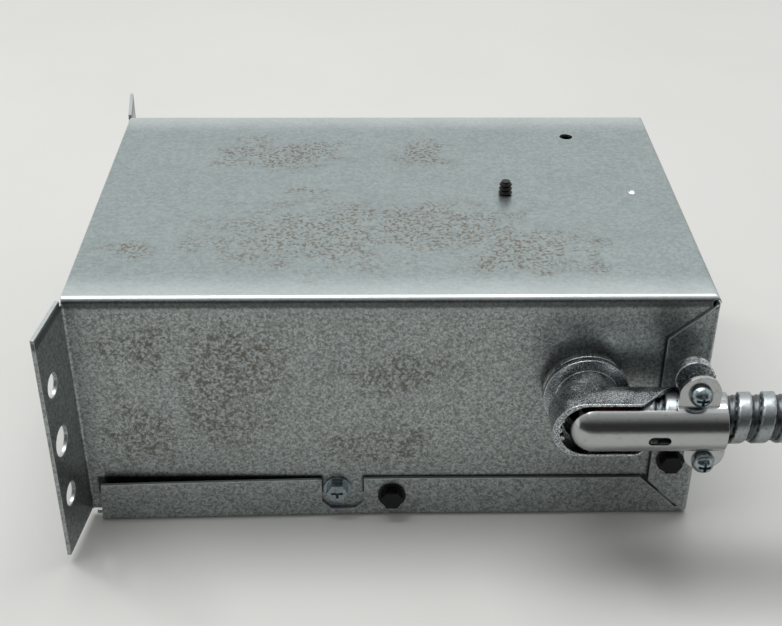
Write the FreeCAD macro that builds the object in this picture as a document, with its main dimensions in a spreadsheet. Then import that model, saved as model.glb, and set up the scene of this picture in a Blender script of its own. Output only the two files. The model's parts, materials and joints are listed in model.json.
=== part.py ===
"""Manual transfer switch in a folded sheet-metal box, with an angled connector and a conduit whip.

The box lies on its wiring cover: +Z is up, +X runs from the open end with the two ears to the closed
end, and the origin is the centre of the cover's underside. Lengths are millimetres.
"""

import FreeCAD
import Part
import math
import os
import re

import Sketcher

# Driving dimensions: alias and value. The names are used in the expressions below.
SIZES = {
    # folded box
    "box_length": 203,  # ear end to closed end, outside
    "box_depth": 137,  # over the two side walls
    "box_height": 87,  # rest face to top panel
    "shell_sheet": 1.2,
    "cover_sheet": 1.2,
    "fold_radius": 0.9,  # inside radius of every fold
    "wall_lift": 3.3,  # rest face to the lower edge of the walls
    "lip_drop": 2.4,  # lip of the top panel, over the cover's closed end
    "lip_gap": 0.3,  # lip to the cover's edge, and the walls' ends to its corner folds
    "corner_relief": 2.6,  # hole where the lip leaves a wall
    # mounting ears
    "ear_width": 23,
    "ear_lean": 7,  # degrees
    "ear_relief": 1.2,  # slit beside the fold of the top panel
    "ear_hole_out": 15.4,  # wall to hole centres
    "ear_bolt_radius": 5,
    "ear_screw_radius": 4,
    "ear_bolt_rise": 44.3,
    "ear_screw_spacing": 42.8,
    # wiring cover
    "cover_setback": 1.0,  # its free edge, from the ear end
    "cover_start": 3.6,  # where its side flanges begin
    "flange_slope": 1.2,
    "flange_rise": 16.3,
    "strip_width": 15,
    "strip_rise": 72.2,
    "mitre_root": 3.4,
    "mitre_gap": 1.0,
    "notch_place": -16.3,
    "notch_width": 14.2,
    "cut_overrun": 1,  # how far a cut's outline runs past the sheet
    "notch_floor": 3.4,
    "notch_corner": 3,
    "knockout_radius": 11.1,
    "knockout_score": 0.8,
    "knockout_depth": 0.4,
    "spare_knockout_place": 14,
    "end_knockout_rise": 50,
    "end_knockout_side": 30,
    # cover and bonding screws
    "washer_radius": 4.7,
    "washer_thick": 0.9,
    "head_across": 6.35,
    "head_rise": 2.7,
    "screw_radius": 2.05,
    "screw_length": 11,
    "screw_point": 0.4,  # radius at the tip
    "recess_span": 3.9,
    "recess_slot": 0.9,
    "recess_depth": 1.3,
    "flange_screw_place": 0.2,
    "flange_screw_rise": 9.5,
    "strip_screw_inset": 8.7,  # from the closed end
    "strip_screw_rise": 24.1,
    "bonding_screw_place": -18.2,
    "bonding_screw_rise": 11.8,
    "tie_width": 18,
    "tie_sheet": 1.2,
    "tie_tab_rise": 16,
    # top panel fixings
    "block_screw_inset": 60.7,  # from the closed end
    "block_screw_side": 1.0,
    "block_screw_radius": 2.0,
    "block_screw_tip": 5,
    "block_screw_point": 1.5,
    "thread_depth": 0.45,
    "thread_pitch": 1.5,
    "thread_rise": 0.6,  # root to crest
    "thread_fade": 0.1,  # less at each turn
    "rivet_inset": 15.4,  # from the closed end
    "rivet_side": 2.4,
    "rivet_radius": 1.6,
    "rivet_head_radius": 2.1,
    "rivet_head_rise": 0.7,
    "rivet_crown_radius": 0.8,
    "spare_hole_inset": 33,  # from the closed end
    "spare_hole_from_far": 19.7,
    "spare_hole_radius": 2.5,
    # terminal block and ground bar
    "block_width": 26,
    "block_span": 64,
    "block_rise": 16,
    "fin_thick": 1.6,
    "fin_drop": 4.5,
    "pole_pitch": 16,
    "pole_strip": 24,
    "pole_strip_width": 7,
    "pole_strip_thick": 3,
    "pole_screw_offset": 5,
    "pole_screw_radius": 2.6,
    "pole_screw_rise": 1.6,
    "screw_slot": 0.7,
    "well_gap": 0.4,  # round the block screw's head
    "bar_width": 8,
    "bar_span": 36,
    "bar_rise": 7,
    "bar_screw_offset": 12,
    # operator plate
    "recess": 10,  # ear end to the plate's face
    "plate_sheet": 1.2,
    "plate_foot": 2.2,
    "plate_tab": 12,
    "plate_tab_inset": 6,
    "plate_corner": 2,
    # rotary changeover switch
    "dial_side": 54,
    "dial_thick": 0.8,
    "knob_gap": 0.6,
    "knob_skirt_radius": 20,
    "knob_skirt_thick": 5,
    "knob_grip_width": 12,
    "knob_grip_rise": 13,
    "knob_edge": 1.2,
    "pointer_width": 1.6,
    "pointer_depth": 0.5,
    "pointer_start": 6.7,  # from the knob's axis
    "shaft_side": 7,
    "shaft_entry": 14,  # into the knob
    "shaft_tail_radius": 4,
    "shaft_tail": 2.4,
    "shaft_step": 0.5,  # square end, in front of the end plate
    "shaft_hole_radius": 7.2,
    "running_fit": 0.05,
    "stage_side": 44,
    "index_thick": 12,
    "index_cavity_radius": 14.5,
    "index_hub_radius": 6.5,
    "index_wheel_radius": 11,
    "index_notch_radius": 3,
    "index_notch_out": 1,  # wheel's edge to the notch's centre
    "index_wheel_thick": 6,
    "index_wheel_gap": 1.5,  # to the first stage
    "spring_thick": 0.8,
    "spring_width": 5,
    "spring_half_length": 11,
    "index_spring_out": 11.3,
    "spring_tail": 3,
    "spring_end_gap": 1,
    "spring_setback": 2,  # to the first stage
    "spring_side_gap": 0.5,
    "spring_room": 1.4,
    "spring_bump_gap": 0.3,
    "post_place": 2,  # beyond the spring's half length
    "post_radius": 1.6,
    "post_gap": 0.1,
    "post_end_gap": 0.3,
    "stage_thick": 11,
    "stage_floor": 2,
    "stage_cavity_radius": 13.6,
    "stage_bore_radius": 6,
    "rotor_radius": 9,
    "rotor_thick": 8,
    "blade_radius": 12.7,
    "blade_thick": 4,
    "blade_sweep": 118,  # degrees
    "throw": 60,  # degrees each way
    "contact_offset": 9,
    "contact_thick": 1.5,
    "contact_width": 5,
    "contact_gap": 0.4,
    "clamp_width": 7,
    "clamp_depth": 6,
    "clamp_rise": 8,
    "clamp_screw_radius": 2.2,
    "clamp_screw_rise": 1.4,
    "end_plate_thick": 3.4,
    "tie_rod_offset": 17.5,
    "tie_rod_radius": 1.6,
    "tie_rod_head_radius": 3,
    "tie_rod_head_rise": 2.2,
    "tie_rod_entry": 6,
    "mount_screw_radius": 1.9,
    "mount_screw_head_radius": 3.4,
    "mount_screw_head_rise": 1.6,
    "mount_screw_gap": 0.5,  # screw end to the index wheel
    "mount_screw_offset": 12.5,
    "knob_screw_radius": 1.7,
    "knob_screw_head_radius": 3.1,
    "knob_screw_head_rise": 2,
    "knob_screw_crown_radius": 2.5,
    "knob_screw_length": 12,
    # push-to-reset breaker
    "breaker_from_near": 23.5,
    "breaker_width": 15,
    "breaker_rise": 34,
    "breaker_depth": 30,
    "bushing_radius": 4.75,
    "bushing_reach": 6.2,
    "panel_fit": 0.15,
    "breaker_nut_across": 13,
    "breaker_nut_thick": 2.4,
    "button_radius": 3.1,
    "button_bore_gap": 0.1,
    "button_reach": 8.6,
    "button_depth": 9,
    "button_end_gap": 0.3,
    "button_crown": 0.8,
    "button_crown_radius": 2.2,
    "tab_length": 6,
    "tab_rise": 6.3,
    "tab_thick": 0.8,
    "tab_spread": 8,
    # pilot lamps
    "lamp_from_far": 22.5,
    "lamp_spread": 17,
    "lamp_radius": 6,
    "lamp_depth": 24,
    "bezel_radius": 8,
    "bezel_thick": 1.6,
    "lens_radius": 5.4,
    "lens_rise": 3.4,
    "lens_curve": 6.5,  # radius of its dome
    "clip_radius": 8.4,
    "clip_thick": 1.2,
    # angled connector
    "connector_inset": 40,  # from the closed end
    "connector_rise": 54.5,
    "hub_radius": 13.7,
    "hub_foot": 3,  # wall to the shoulder
    "hub_foot_radius": 11.6,
    "hub_thick": 4.8,
    "hub_groove": 0.8,
    "hub_groove_radius": 12.4,
    "rim_thick": 1.5,
    "neck_radius": 9.9,
    "nipple_radius": 10.6,
    "nipple_length": 10,
    "throat_radius": 7.6,
    "lobe_depth": 1.6,
    "lobe_cut": 2.6,
    "conduit_out": 18.8,  # wall to the conduit's axis
    "conduit_radius": 8,
    "conduit_fit": 0.1,
    "cast_front": 24.8,  # wall to the trough's rim
    "cast_back": 9.6,
    "cast_wall_gap": 0.4,
    "trough_rim": 14,  # hub centre to where the rim sweeps back
    "trough_sweep": 12,
    "trough_end": 37,
    "trough_low_front": 12.6,
    "trough_round": 8.8,
    "trough_bend": 3,  # radius of the round where the front begins to slope
    "collar_shift": 3.1,  # its centre behind the hub's
    "collar_back": 14,
    "collar_taper": 6,
    "collar_root_radius": 7,
    "nose_gap": 1.7,  # pocket's centre behind the strap's
    "peg_radius": 0.9,
    "peg_out": 8.9,
    "peg_setback": 1.2,
    "elbow_floor": 2,
    "wire_way_radius": 6.4,
    "saddle_setback": 2,
    "elbow_reach": 12,  # hub centre to the conduit's end
    "strap_out": 20.8,
    "strap_edge": 4,  # its axis forward to its free edges
    "strap_radius": 8.7,
    "strap_sheet": 0.9,
    "strap_length": 39.6,  # hub centre to its mouth
    "strap_rib": 2.2,
    "strap_rib_inset": 3,
    "strap_lug_front": 23.8,
    "strap_lug_thick": 1.3,
    "strap_lug_radius": 6.3,
    "window_place": 19,
    "window_length": 6.9,
    "window_width": 3.2,
    "window_drop": 0.7,
    "window_margin": 1,
    "boss_back": 11.9,
    "boss_front": 15.5,
    "boss_radius": 5.9,
    "lug_place": 30.8,  # hub centre to the upper lug
    "lug_offset": 12.7,
    "lug_stagger": 4,
    "lug_raise": 3,  # lower lug's centre above its screw
    "clamp_screw_shank": 2,
    "clamp_screw_reach": 15,
    "clamp_head_radius": 3.6,
    "clamp_head_rise": 3.8,
    "clamp_head_edge": 0.4,  # straight rim under the dome
    "clamp_recess_depth": 2,
    "locknut_radius": 14.4,
    "locknut_thick": 3.2,
    "locknut_lobe": 3,
    "bushing_flange": 1.1,
    "bushing_hole": 5,
    # far end of the whip
    "far_sleeve_radius": 10.4,
    "far_sleeve_length": 20,
    "far_hub_radius": 13.7,
    "far_hub_thick": 3,
    "far_nipple_length": 9,
    "far_floor": 2,  # conduit's end to the hub
    "far_nut_gap": 1.5,
    "far_throat_radius": 6.6,
    # wires
    "wire_radius": 1.4,
    "wire_spread": 1.75,
    "wire_end_gap": 0.2,
    "wire_run_in": 10,  # straight run behind the nipple
    "lead_radius": 0.8,
    "lead_spread": 2.2,
}

# Places written as expressions, each worked out from the sizes.
LEFT = "(-box_length / 2)"
RIGHT = "(box_length / 2)"
NEAR = "(-box_depth / 2)"
FAR = "(box_depth / 2)"
FACE = f"({LEFT} + recess)"  # front of the operator plate
PANEL_BACK = f"({FACE} + plate_sheet)"
MIDDLE = "(box_height / 2)"
CEILING = "(box_height - shell_sheet)"
BLOCK_X = f"({RIGHT} - block_screw_inset)"
RIVET_X = f"({RIGHT} - rivet_inset)"
BREAKER_Y = f"({NEAR} + breaker_from_near)"
LAMP_Y = f"({FAR} - lamp_from_far)"
BLOCK_FOOT = f"({CEILING} - block_rise)"
STRIP_FOOT = f"({BLOCK_FOOT} - pole_strip_thick)"
STAGE = f"({PANEL_BACK} + index_thick)"  # front of the first contact stage
SWITCH_END = f"({STAGE} + 2 * stage_thick)"
MOUNT_SCREW = "(plate_sheet + index_thick - index_wheel_thick - index_wheel_gap - mount_screw_gap)"
HUB_X = f"({RIGHT} - connector_inset)"
HUB_Z = "connector_rise"
NOTCH_CENTRE = "(index_wheel_radius + index_notch_out)"
CONDUIT_Y = f"({NEAR} - conduit_out)"
CONDUIT_START = f"({HUB_X} + elbow_reach)"
LIP_FOOT = "(box_height - lip_drop)"
COVER_TOP = f"({LIP_FOOT} - lip_gap)"

# The whip's centreline after the clamp, laid down from the connector to the table and round in a
# curl: chosen by hand. Its first point is the conduit's end in the connector.
WHIP = [
    (160.0, -87.3, 54.5),
    (241.8, -81.6, 24.5),
    (295.6, -59.9, 8.15),
    (329.1, -13.8, 8.15),
    (330.1, 43.2, 8.15),
    (298.2, 90.5, 8.15),
    (248.5, 111.6, 14.05),
]

FUNCTIONS = {"sin", "cos", "tan", "sqrt"}
AXES = {
    "+X": (1, 0, 0),
    "-X": (-1, 0, 0),
    "+Y": (0, 1, 0),
    "-Y": (0, -1, 0),
    "+Z": (0, 0, 1),
    "-Z": (0, 0, -1),
}

doc = FreeCAD.newDocument("transfer_switch")
sheet = doc.addObject("Spreadsheet::Sheet", "Sizes")
nodes = []


# ---------------------------------------------------------------- sheet and expressions


def fill_sheet():
    """Write every driving dimension and its alias."""
    for row, (alias, number) in enumerate(SIZES.items(), 1):
        sheet.set(f"A{row}", alias)
        sheet.set(f"B{row}", str(number))
        sheet.setAlias(f"B{row}", alias)
    doc.recompute()


def bound(text):
    """The expression with each alias made a reference to the sheet."""
    return re.sub(
        r"[a-z][a-z0-9_]*",
        lambda word: word.group() if word.group() in FUNCTIONS else f"Sizes.{word.group()}",
        text,
    )


def value(text):
    """The expression as a number."""
    return float(sheet.evalExpression(bound(text)))


def point(*texts):
    return FreeCAD.Vector(*(value(text) for text in texts))


def node(name, thing):
    """Make the object a named node of the assembly."""
    thing.Label = name
    nodes.append(thing)
    return thing


# ---------------------------------------------------------------- solids from primitives


def place(thing, at, outward="+Z"):
    """Put the object's own origin at a point, with its +Z turned to an axis."""
    turn = FreeCAD.Rotation(FreeCAD.Vector(0, 0, 1), FreeCAD.Vector(*AXES[outward]))
    thing.Placement = FreeCAD.Placement(FreeCAD.Vector(), turn)
    for letter, text in zip("xyz", at):
        thing.setExpression(f"Placement.Base.{letter}", bound(text))
    return thing


def block(low, high):
    """A box between two corners."""
    box = doc.addObject("Part::Box", "Block")
    for side, first, last in zip(("Length", "Width", "Height"), low, high):
        box.setExpression(side, bound(f"({last}) - ({first})"))
    return place(box, low)


def rod(at, outward, length, radius):
    """A cylinder that starts at a point and runs along an axis."""
    cylinder = doc.addObject("Part::Cylinder", "Rod")
    cylinder.setExpression("Height", bound(length))
    cylinder.setExpression("Radius", bound(radius))
    return place(cylinder, at, outward)


def cone(at, outward, length, radius, end_radius):
    """A cone that starts at a point and narrows along an axis."""
    taper = doc.addObject("Part::Cone", "Cone")
    taper.setExpression("Height", bound(length))
    taper.setExpression("Radius1", bound(radius))
    taper.setExpression("Radius2", bound(end_radius))
    return place(taper, at, outward)


def ball(at, radius):
    sphere = doc.addObject("Part::Sphere", "Ball")
    sphere.setExpression("Radius", bound(radius))
    return place(sphere, at)


def hexagon(at, outward, length, across):
    """A hexagonal prism, given across its flats."""
    prism = doc.addObject("Part::Prism", "Hexagon")
    prism.Polygon = 6
    prism.setExpression("Circumradius", bound(f"({across}) / sqrt(3)"))
    prism.setExpression("Height", bound(length))
    return place(prism, at, outward)


def fuse(*parts):
    if len(parts) == 1:
        return parts[0]
    union = doc.addObject("Part::MultiFuse", "Union")
    union.Shapes = list(parts)
    union.Refine = True
    return union


def cut(base, *tools):
    difference = doc.addObject("Part::Cut", "Difference")
    difference.Base = base
    difference.Tool = fuse(*tools)
    return difference


def common(first, second):
    overlap = doc.addObject("Part::MultiCommon", "Overlap")
    overlap.Shapes = [first, second]
    return overlap


def group(*parts):
    """Several separate solids that share one node."""
    compound = doc.addObject("Part::Compound", "Group")
    compound.Links = list(parts)
    return compound


# ---------------------------------------------------------------- sketched bodies


def new_body(name):
    return node(name, doc.addObject("PartDesign::Body", name))


def new_sketch(body, role, shift):
    """A sketch on one of the body's origin planes, moved along the plane's normal."""
    sketch = body.newObject("Sketcher::SketchObject", "Sketch")
    plane = next(datum for datum in body.Origin.OriginFeatures if datum.Role == role)
    sketch.AttachmentSupport = [(plane, "")]
    sketch.MapMode = "FlatFace"
    sketch.setExpression("AttachmentOffset.Base.z", bound(shift))
    return sketch


def fix_point(sketch, geometry, vertex, across, up):
    """Bind a sketch point's two coordinates."""
    for kind, text in (("DistanceX", across), ("DistanceY", up)):
        rule = Sketcher.Constraint(kind, -1, 1, geometry, vertex, value(text))
        index = sketch.addConstraint(rule)
        sketch.setExpression(f"Constraints[{index}]", bound(text))


def arc_through(first, last, radius, left):
    """The short arc between two points, its centre to the left of the way or to the right."""
    chord = last - first
    across = FreeCAD.Vector(-chord.y, chord.x, 0) * (1 if left else -1)
    across.normalize()
    sagitta = radius - math.sqrt(radius**2 - chord.Length**2 / 4)
    return Part.Arc(first, (first + last) * 0.5 - across * sagitta, last)


def polygon(body, role, corners, shift="0", arcs=()):
    """A closed outline with every corner bound; arcs are edge number, radius and if it bends left."""
    sketch = new_sketch(body, role, shift)
    spots = [point(across, up, "0") for across, up in corners]
    turns = range(len(spots))
    lines = [Part.LineSegment(spots[i], spots[i + 1 - len(spots)]) for i in turns]
    for i, radius, left in arcs:
        lines[i] = arc_through(spots[i], spots[i + 1 - len(spots)], value(radius), left)
    sketch.addGeometry(lines, False)
    ends = [(1, 2) if sketch.getPoint(i, 1).isEqual(spots[i], 1e-5) else (2, 1) for i in turns]
    for i in turns:
        after = (i + 1) % len(spots)
        sketch.addConstraint(Sketcher.Constraint("Coincident", i, ends[i][1], after, ends[after][0]))
    for i, (across, up) in enumerate(corners):
        fix_point(sketch, i, ends[i][0], across, up)
    for i, radius, _ in arcs:
        rule = sketch.addConstraint(Sketcher.Constraint("Radius", i, value(radius)))
        sketch.setExpression(f"Constraints[{rule}]", bound(radius))
    return sketch


def circles(body, role, rings, shift="0"):
    """Circles, each given as across, up and radius."""
    sketch = new_sketch(body, role, shift)
    for across, up, radius in rings:
        centre = point(across, up, "0")
        index = sketch.addGeometry(Part.Circle(centre, FreeCAD.Vector(0, 0, 1), value(radius)), False)
        fix_point(sketch, index, 3, across, up)
        rule = sketch.addConstraint(Sketcher.Constraint("Radius", index, value(radius)))
        sketch.setExpression(f"Constraints[{rule}]", bound(radius))
    return sketch


def sweep_sketch(kind, body, sketch, length, middle, back):
    feature = body.newObject(kind, "Feature")
    feature.Profile = sketch
    feature.Midplane = middle
    feature.Reversed = back
    feature.setExpression("Length", bound(length))
    sketch.Visibility = False
    doc.recompute()
    return feature


def pad(body, sketch, length, middle=False, back=False):
    """Add material along the sketch's normal, or back against it."""
    return sweep_sketch("PartDesign::Pad", body, sketch, length, middle, back)


def pocket(body, sketch, length, middle=False, back=False):
    """Remove material against the sketch's normal, or back along it."""
    before = body.Shape.Volume
    feature = sweep_sketch("PartDesign::Pocket", body, sketch, length, middle, back)
    if body.Shape.Volume > before - 1e-6:
        raise RuntimeError(f"a pocket in {body.Label} removes nothing")
    return feature


def edges_on(shape, **fixed):
    """Names of the straight edges that lie on the given coordinates."""
    found = []
    for index, edge in enumerate(shape.Edges, 1):
        spots = [vertex.Point for vertex in edge.Vertexes]
        if len(spots) != 2 or abs((spots[1] - spots[0]).Length - edge.Length) > 1e-4:
            continue
        if all(abs(getattr(p, axis) - value(text)) < 0.01 for axis, text in fixed.items() for p in spots):
            found.append(f"Edge{index}")
    return found


def round_edges(body, radius, *places):
    """Fillet the straight edges on each set of coordinates."""
    base = body.Tip
    names = [name for fixed in places for name in edges_on(base.Shape, **fixed)]
    if not names:
        raise RuntimeError(f"no edge to round in {body.Label}")
    fillet = body.newObject("PartDesign::Fillet", "Fold")
    fillet.Base = (base, names)
    fillet.setExpression("Radius", bound(radius))
    doc.recompute()


# ---------------------------------------------------------------- folded sheets


def back_shell():
    """Top panel, two side walls, two ears and the lip at the closed end, folded from one sheet."""
    body = new_body("back_shell")
    inner_near, inner_far = f"{NEAR} + shell_sheet", f"{FAR} - shell_sheet"
    channel = [
        (NEAR, "wall_lift"),
        (NEAR, "box_height"),
        (FAR, "box_height"),
        (FAR, "wall_lift"),
        (inner_far, "wall_lift"),
        (inner_far, CEILING),
        (inner_near, CEILING),
        (inner_near, "wall_lift"),
    ]
    pad(body, polygon(body, "YZ_Plane", channel, LEFT), f"{RIGHT} - {LEFT}")
    lip_back = f"{RIGHT} - shell_sheet"
    lip = [(lip_back, "box_height"), (RIGHT, "box_height"), (RIGHT, LIP_FOOT), (lip_back, LIP_FOOT)]
    pad(body, polygon(body, "XZ_Plane", lip), "box_depth", middle=True)
    round_edges(
        body,
        "fold_radius + shell_sheet",
        {"y": NEAR, "z": "box_height"},
        {"y": FAR, "z": "box_height"},
        {"x": RIGHT, "z": "box_height"},
    )
    round_edges(
        body,
        "fold_radius",
        {"y": inner_near, "z": CEILING},
        {"y": inner_far, "z": CEILING},
        {"x": lip_back, "z": CEILING},
    )
    open_corners(body)
    for side, wall in (("-", NEAR), ("+", FAR)):
        add_ear(body, side, wall)
    drill_shell(body)


def open_corners(body):
    """Walls cut short of the cover's corner folds, and a relief hole at each end of the lip."""
    wall_end = f"{RIGHT} - cover_sheet - fold_radius - lip_gap"
    beyond = f"{RIGHT} + shell_sheet"
    room = [(wall_end, "0"), (beyond, "0"), (beyond, LIP_FOOT), (wall_end, LIP_FOOT)]
    pocket(body, polygon(body, "XZ_Plane", room), "box_depth + 2 * shell_sheet", middle=True)
    rings = [(f"{RIGHT} - corner_relief / 2", LIP_FOOT, "corner_relief / 2")]
    depth = "fold_radius + shell_sheet"
    pocket(body, circles(body, "XZ_Plane", rings, "box_depth / 2"), depth)
    pocket(body, circles(body, "XZ_Plane", rings, NEAR), depth, back=True)


def add_ear(body, side, wall):
    """One ear, bent outward from a wall's free end and leaning away from the box."""
    inward = "+" if side == "-" else "-"
    rise = "shell_sheet / cos(ear_lean)"
    tip_x = f"{LEFT} - ear_width * tan(ear_lean)"
    tip_y = f"{wall} {side} ear_width"
    root_y = f"{wall} {inward} shell_sheet"
    setback = "fold_radius / tan(45 + ear_lean / 2)"
    outline = [
        (f"{LEFT} + {setback}", wall),
        (f"{LEFT} - {setback} * sin(ear_lean)", f"{wall} {side} {setback} * cos(ear_lean)"),
        (tip_x, tip_y),
        (f"{tip_x} - {rise}", tip_y),
        (f"{LEFT} + shell_sheet * tan(ear_lean) - {rise}", root_y),
        (f"{LEFT} + {setback}", root_y),
    ]
    fold_start = "box_height - fold_radius - shell_sheet"
    root = polygon(body, "XY_Plane", outline, "wall_lift", [(0, "fold_radius", side == "-")])
    pad(body, root, f"{fold_start} - wall_lift")
    relief_x = f"{LEFT} - ear_relief * tan(ear_lean)"
    relief_y = f"{wall} {side} ear_relief"
    crown = [outline[2], (relief_x, relief_y), (f"{relief_x} - {rise}", relief_y), outline[3]]
    pad(body, polygon(body, "XY_Plane", crown, fold_start), "fold_radius + shell_sheet")


def drill_shell(body):
    """Holes for the fixings, and the scored knockouts of the far wall."""
    ear_y = "(box_depth / 2 + ear_hole_out)"
    ear_rings = []
    for side in ("-", ""):
        ear_rings.append((side + ear_y, "ear_bolt_rise", "ear_bolt_radius"))
        for step in ("-", "+"):
            rise = f"ear_bolt_rise {step} ear_screw_spacing / 2"
            ear_rings.append((side + ear_y, rise, "ear_screw_radius"))
    pocket(body, circles(body, "YZ_Plane", ear_rings, f"{LEFT} + shell_sheet"), "ear_width")
    top_rings = [
        (BLOCK_X, "block_screw_side", "block_screw_radius"),
        (RIVET_X, "rivet_side", "rivet_radius"),
        (f"{RIGHT} - spare_hole_inset", f"{FAR} - spare_hole_from_far", "spare_hole_radius"),
    ]
    pocket(body, circles(body, "XY_Plane", top_rings, "box_height"), "shell_sheet")
    wall_rings = [(x, z, "screw_radius") for x, z in SCREW_PLACES.values()]
    pocket(body, circles(body, "XZ_Plane", wall_rings), "box_depth + 2 * shell_sheet", middle=True)
    hub = circles(body, "XZ_Plane", [(HUB_X, HUB_Z, "knockout_radius")], "box_depth / 2")
    pocket(body, hub, "shell_sheet")
    for x in (HUB_X, "spare_knockout_place"):
        rings = [(x, HUB_Z, "knockout_radius"), (x, HUB_Z, "knockout_radius - knockout_score")]
        pocket(body, circles(body, "XZ_Plane", rings, NEAR), "knockout_depth", back=True)


SCREW_PLACES = {
    "flange": ("flange_screw_place", "flange_screw_rise"),
    "strip": (f"({RIGHT} - strip_screw_inset)", "strip_screw_rise"),
    "bonding": ("bonding_screw_place", "bonding_screw_rise"),
}


def wiring_cover():
    """Bottom panel and closed end, with side flanges outside the walls and mitred corners."""
    body = new_body("wiring_cover")
    free_edge = f"{LEFT} + cover_setback"
    inner_end = f"{RIGHT} - cover_sheet"
    angle = [
        (free_edge, "0"),
        (RIGHT, "0"),
        (RIGHT, COVER_TOP),
        (inner_end, COVER_TOP),
        (inner_end, "cover_sheet"),
        (free_edge, "cover_sheet"),
    ]
    pad(body, polygon(body, "XZ_Plane", angle), "box_depth + 2 * cover_sheet", middle=True)
    outer = {"near": f"{NEAR} - cover_sheet", "far": f"{FAR} + cover_sheet"}
    inner = {"near": NEAR, "far": FAR}
    root = {"near": f"{NEAR} + cover_sheet", "far": f"{FAR} - cover_sheet"}
    flange = [
        (f"{LEFT} + cover_start", "0"),
        (f"{LEFT} + cover_start + flange_slope", "flange_rise"),
        (f"{RIGHT} - strip_width", "flange_rise"),
        (f"{RIGHT} - strip_width", "strip_rise"),
        (inner_end, COVER_TOP),
        (RIGHT, COVER_TOP),
        (RIGHT, "0"),
    ]
    pad(body, polygon(body, "XZ_Plane", flange, f"-({outer['near']})"), "cover_sheet", back=True)
    pad(body, polygon(body, "XZ_Plane", flange, f"-({outer['far']})"), "cover_sheet")
    for side in ("near", "far"):
        relief = [
            (f"{free_edge} - 1", outer[side]),
            (f"{LEFT} + cover_start", outer[side]),
            (f"{LEFT} + cover_start", root[side]),
            (f"{free_edge} - 1", root[side]),
        ]
        pocket(body, polygon(body, "XY_Plane", relief, "cover_sheet"), "cover_sheet")
    corners = [{"y": outer[side], "z": "0"} for side in outer]
    corners += [{"y": outer[side], "x": RIGHT} for side in outer]
    round_edges(body, "fold_radius + cover_sheet", *corners, {"x": RIGHT, "z": "0"})
    corners = [{"y": inner[side], "z": "cover_sheet"} for side in inner]
    corners += [{"y": inner[side], "x": inner_end} for side in inner]
    round_edges(body, "fold_radius", *corners, {"x": inner_end, "z": "cover_sheet"})
    cut_cover(body)


def cut_cover(body):
    """Mitre slots, the notches that clear the bonding screws, fixing holes and end knockouts."""
    through = "box_depth + 4 * cover_sheet"  # both walls and some air
    slot = "mitre_gap * sqrt(2)"
    mitre = [
        (f"{RIGHT} - mitre_root", "mitre_root"),
        (f"{RIGHT} - strip_width", "strip_width"),
        (f"{RIGHT} - strip_width", "flange_rise + cut_overrun"),
        (f"{RIGHT} - flange_rise - cut_overrun - {slot}", "flange_rise + cut_overrun"),
        (f"{RIGHT} - mitre_root - {slot}", "mitre_root"),
    ]
    pocket(body, polygon(body, "XZ_Plane", mitre), through, middle=True)
    half = "notch_width / 2"
    notch = [
        (f"notch_place - {half}", "flange_rise + cut_overrun"),
        (f"notch_place - {half}", "notch_floor + notch_corner"),
        (f"notch_place - {half} + notch_corner", "notch_floor"),
        (f"notch_place + {half} - notch_corner", "notch_floor"),
        (f"notch_place + {half}", "notch_floor + notch_corner"),
        (f"notch_place + {half}", "flange_rise + cut_overrun"),
    ]
    pocket(body, polygon(body, "XZ_Plane", notch), through, middle=True)
    rings = [(*SCREW_PLACES[which], "screw_radius") for which in ("flange", "strip")]
    pocket(body, circles(body, "XZ_Plane", rings), through, middle=True)
    for side in ("-", ""):
        centre = (side + "end_knockout_side", "end_knockout_rise")
        rings = [(*centre, "knockout_radius"), (*centre, "knockout_radius - knockout_score")]
        pocket(body, circles(body, "YZ_Plane", rings, RIGHT), "knockout_depth")


def operator_plate():
    """Plate between the walls that carries the controls, with a tab welded to each wall."""
    body = new_body("operator_plate")
    near, far = f"{NEAR} + shell_sheet", f"{FAR} - shell_sheet"
    face = [
        (near, "plate_foot"),
        (near, f"{CEILING} - plate_corner"),
        (f"{near} + plate_corner", CEILING),
        (f"{far} - plate_corner", CEILING),
        (far, f"{CEILING} - plate_corner"),
        (far, "plate_foot"),
    ]
    pad(body, polygon(body, "YZ_Plane", face, FACE), "plate_sheet")
    tab_x = [PANEL_BACK, f"{PANEL_BACK} + plate_tab"]
    for edge, inner in ((near, f"{near} + plate_sheet"), (far, f"{far} - plate_sheet")):
        tab = [(tab_x[0], edge), (tab_x[1], edge), (tab_x[1], inner), (tab_x[0], inner)]
        shift = "plate_foot + plate_tab_inset"
        length = f"{CEILING} - plate_foot - 2 * plate_tab_inset"
        pad(body, polygon(body, "XY_Plane", tab, shift), length)
    round_edges(body, "fold_radius + plate_sheet", {"x": FACE, "y": near}, {"x": FACE, "y": far})
    rings = [("0", MIDDLE, "shaft_hole_radius")]
    rings += [("0", f"{MIDDLE} {step} mount_screw_offset", "mount_screw_radius") for step in "-+"]
    rings.append((BREAKER_Y, MIDDLE, "bushing_radius + panel_fit"))
    rings += [(LAMP_Y, f"{MIDDLE} {step} lamp_spread", "lamp_radius + panel_fit") for step in "-+"]
    pocket(body, circles(body, "YZ_Plane", rings, PANEL_BACK), "plate_sheet")


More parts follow.
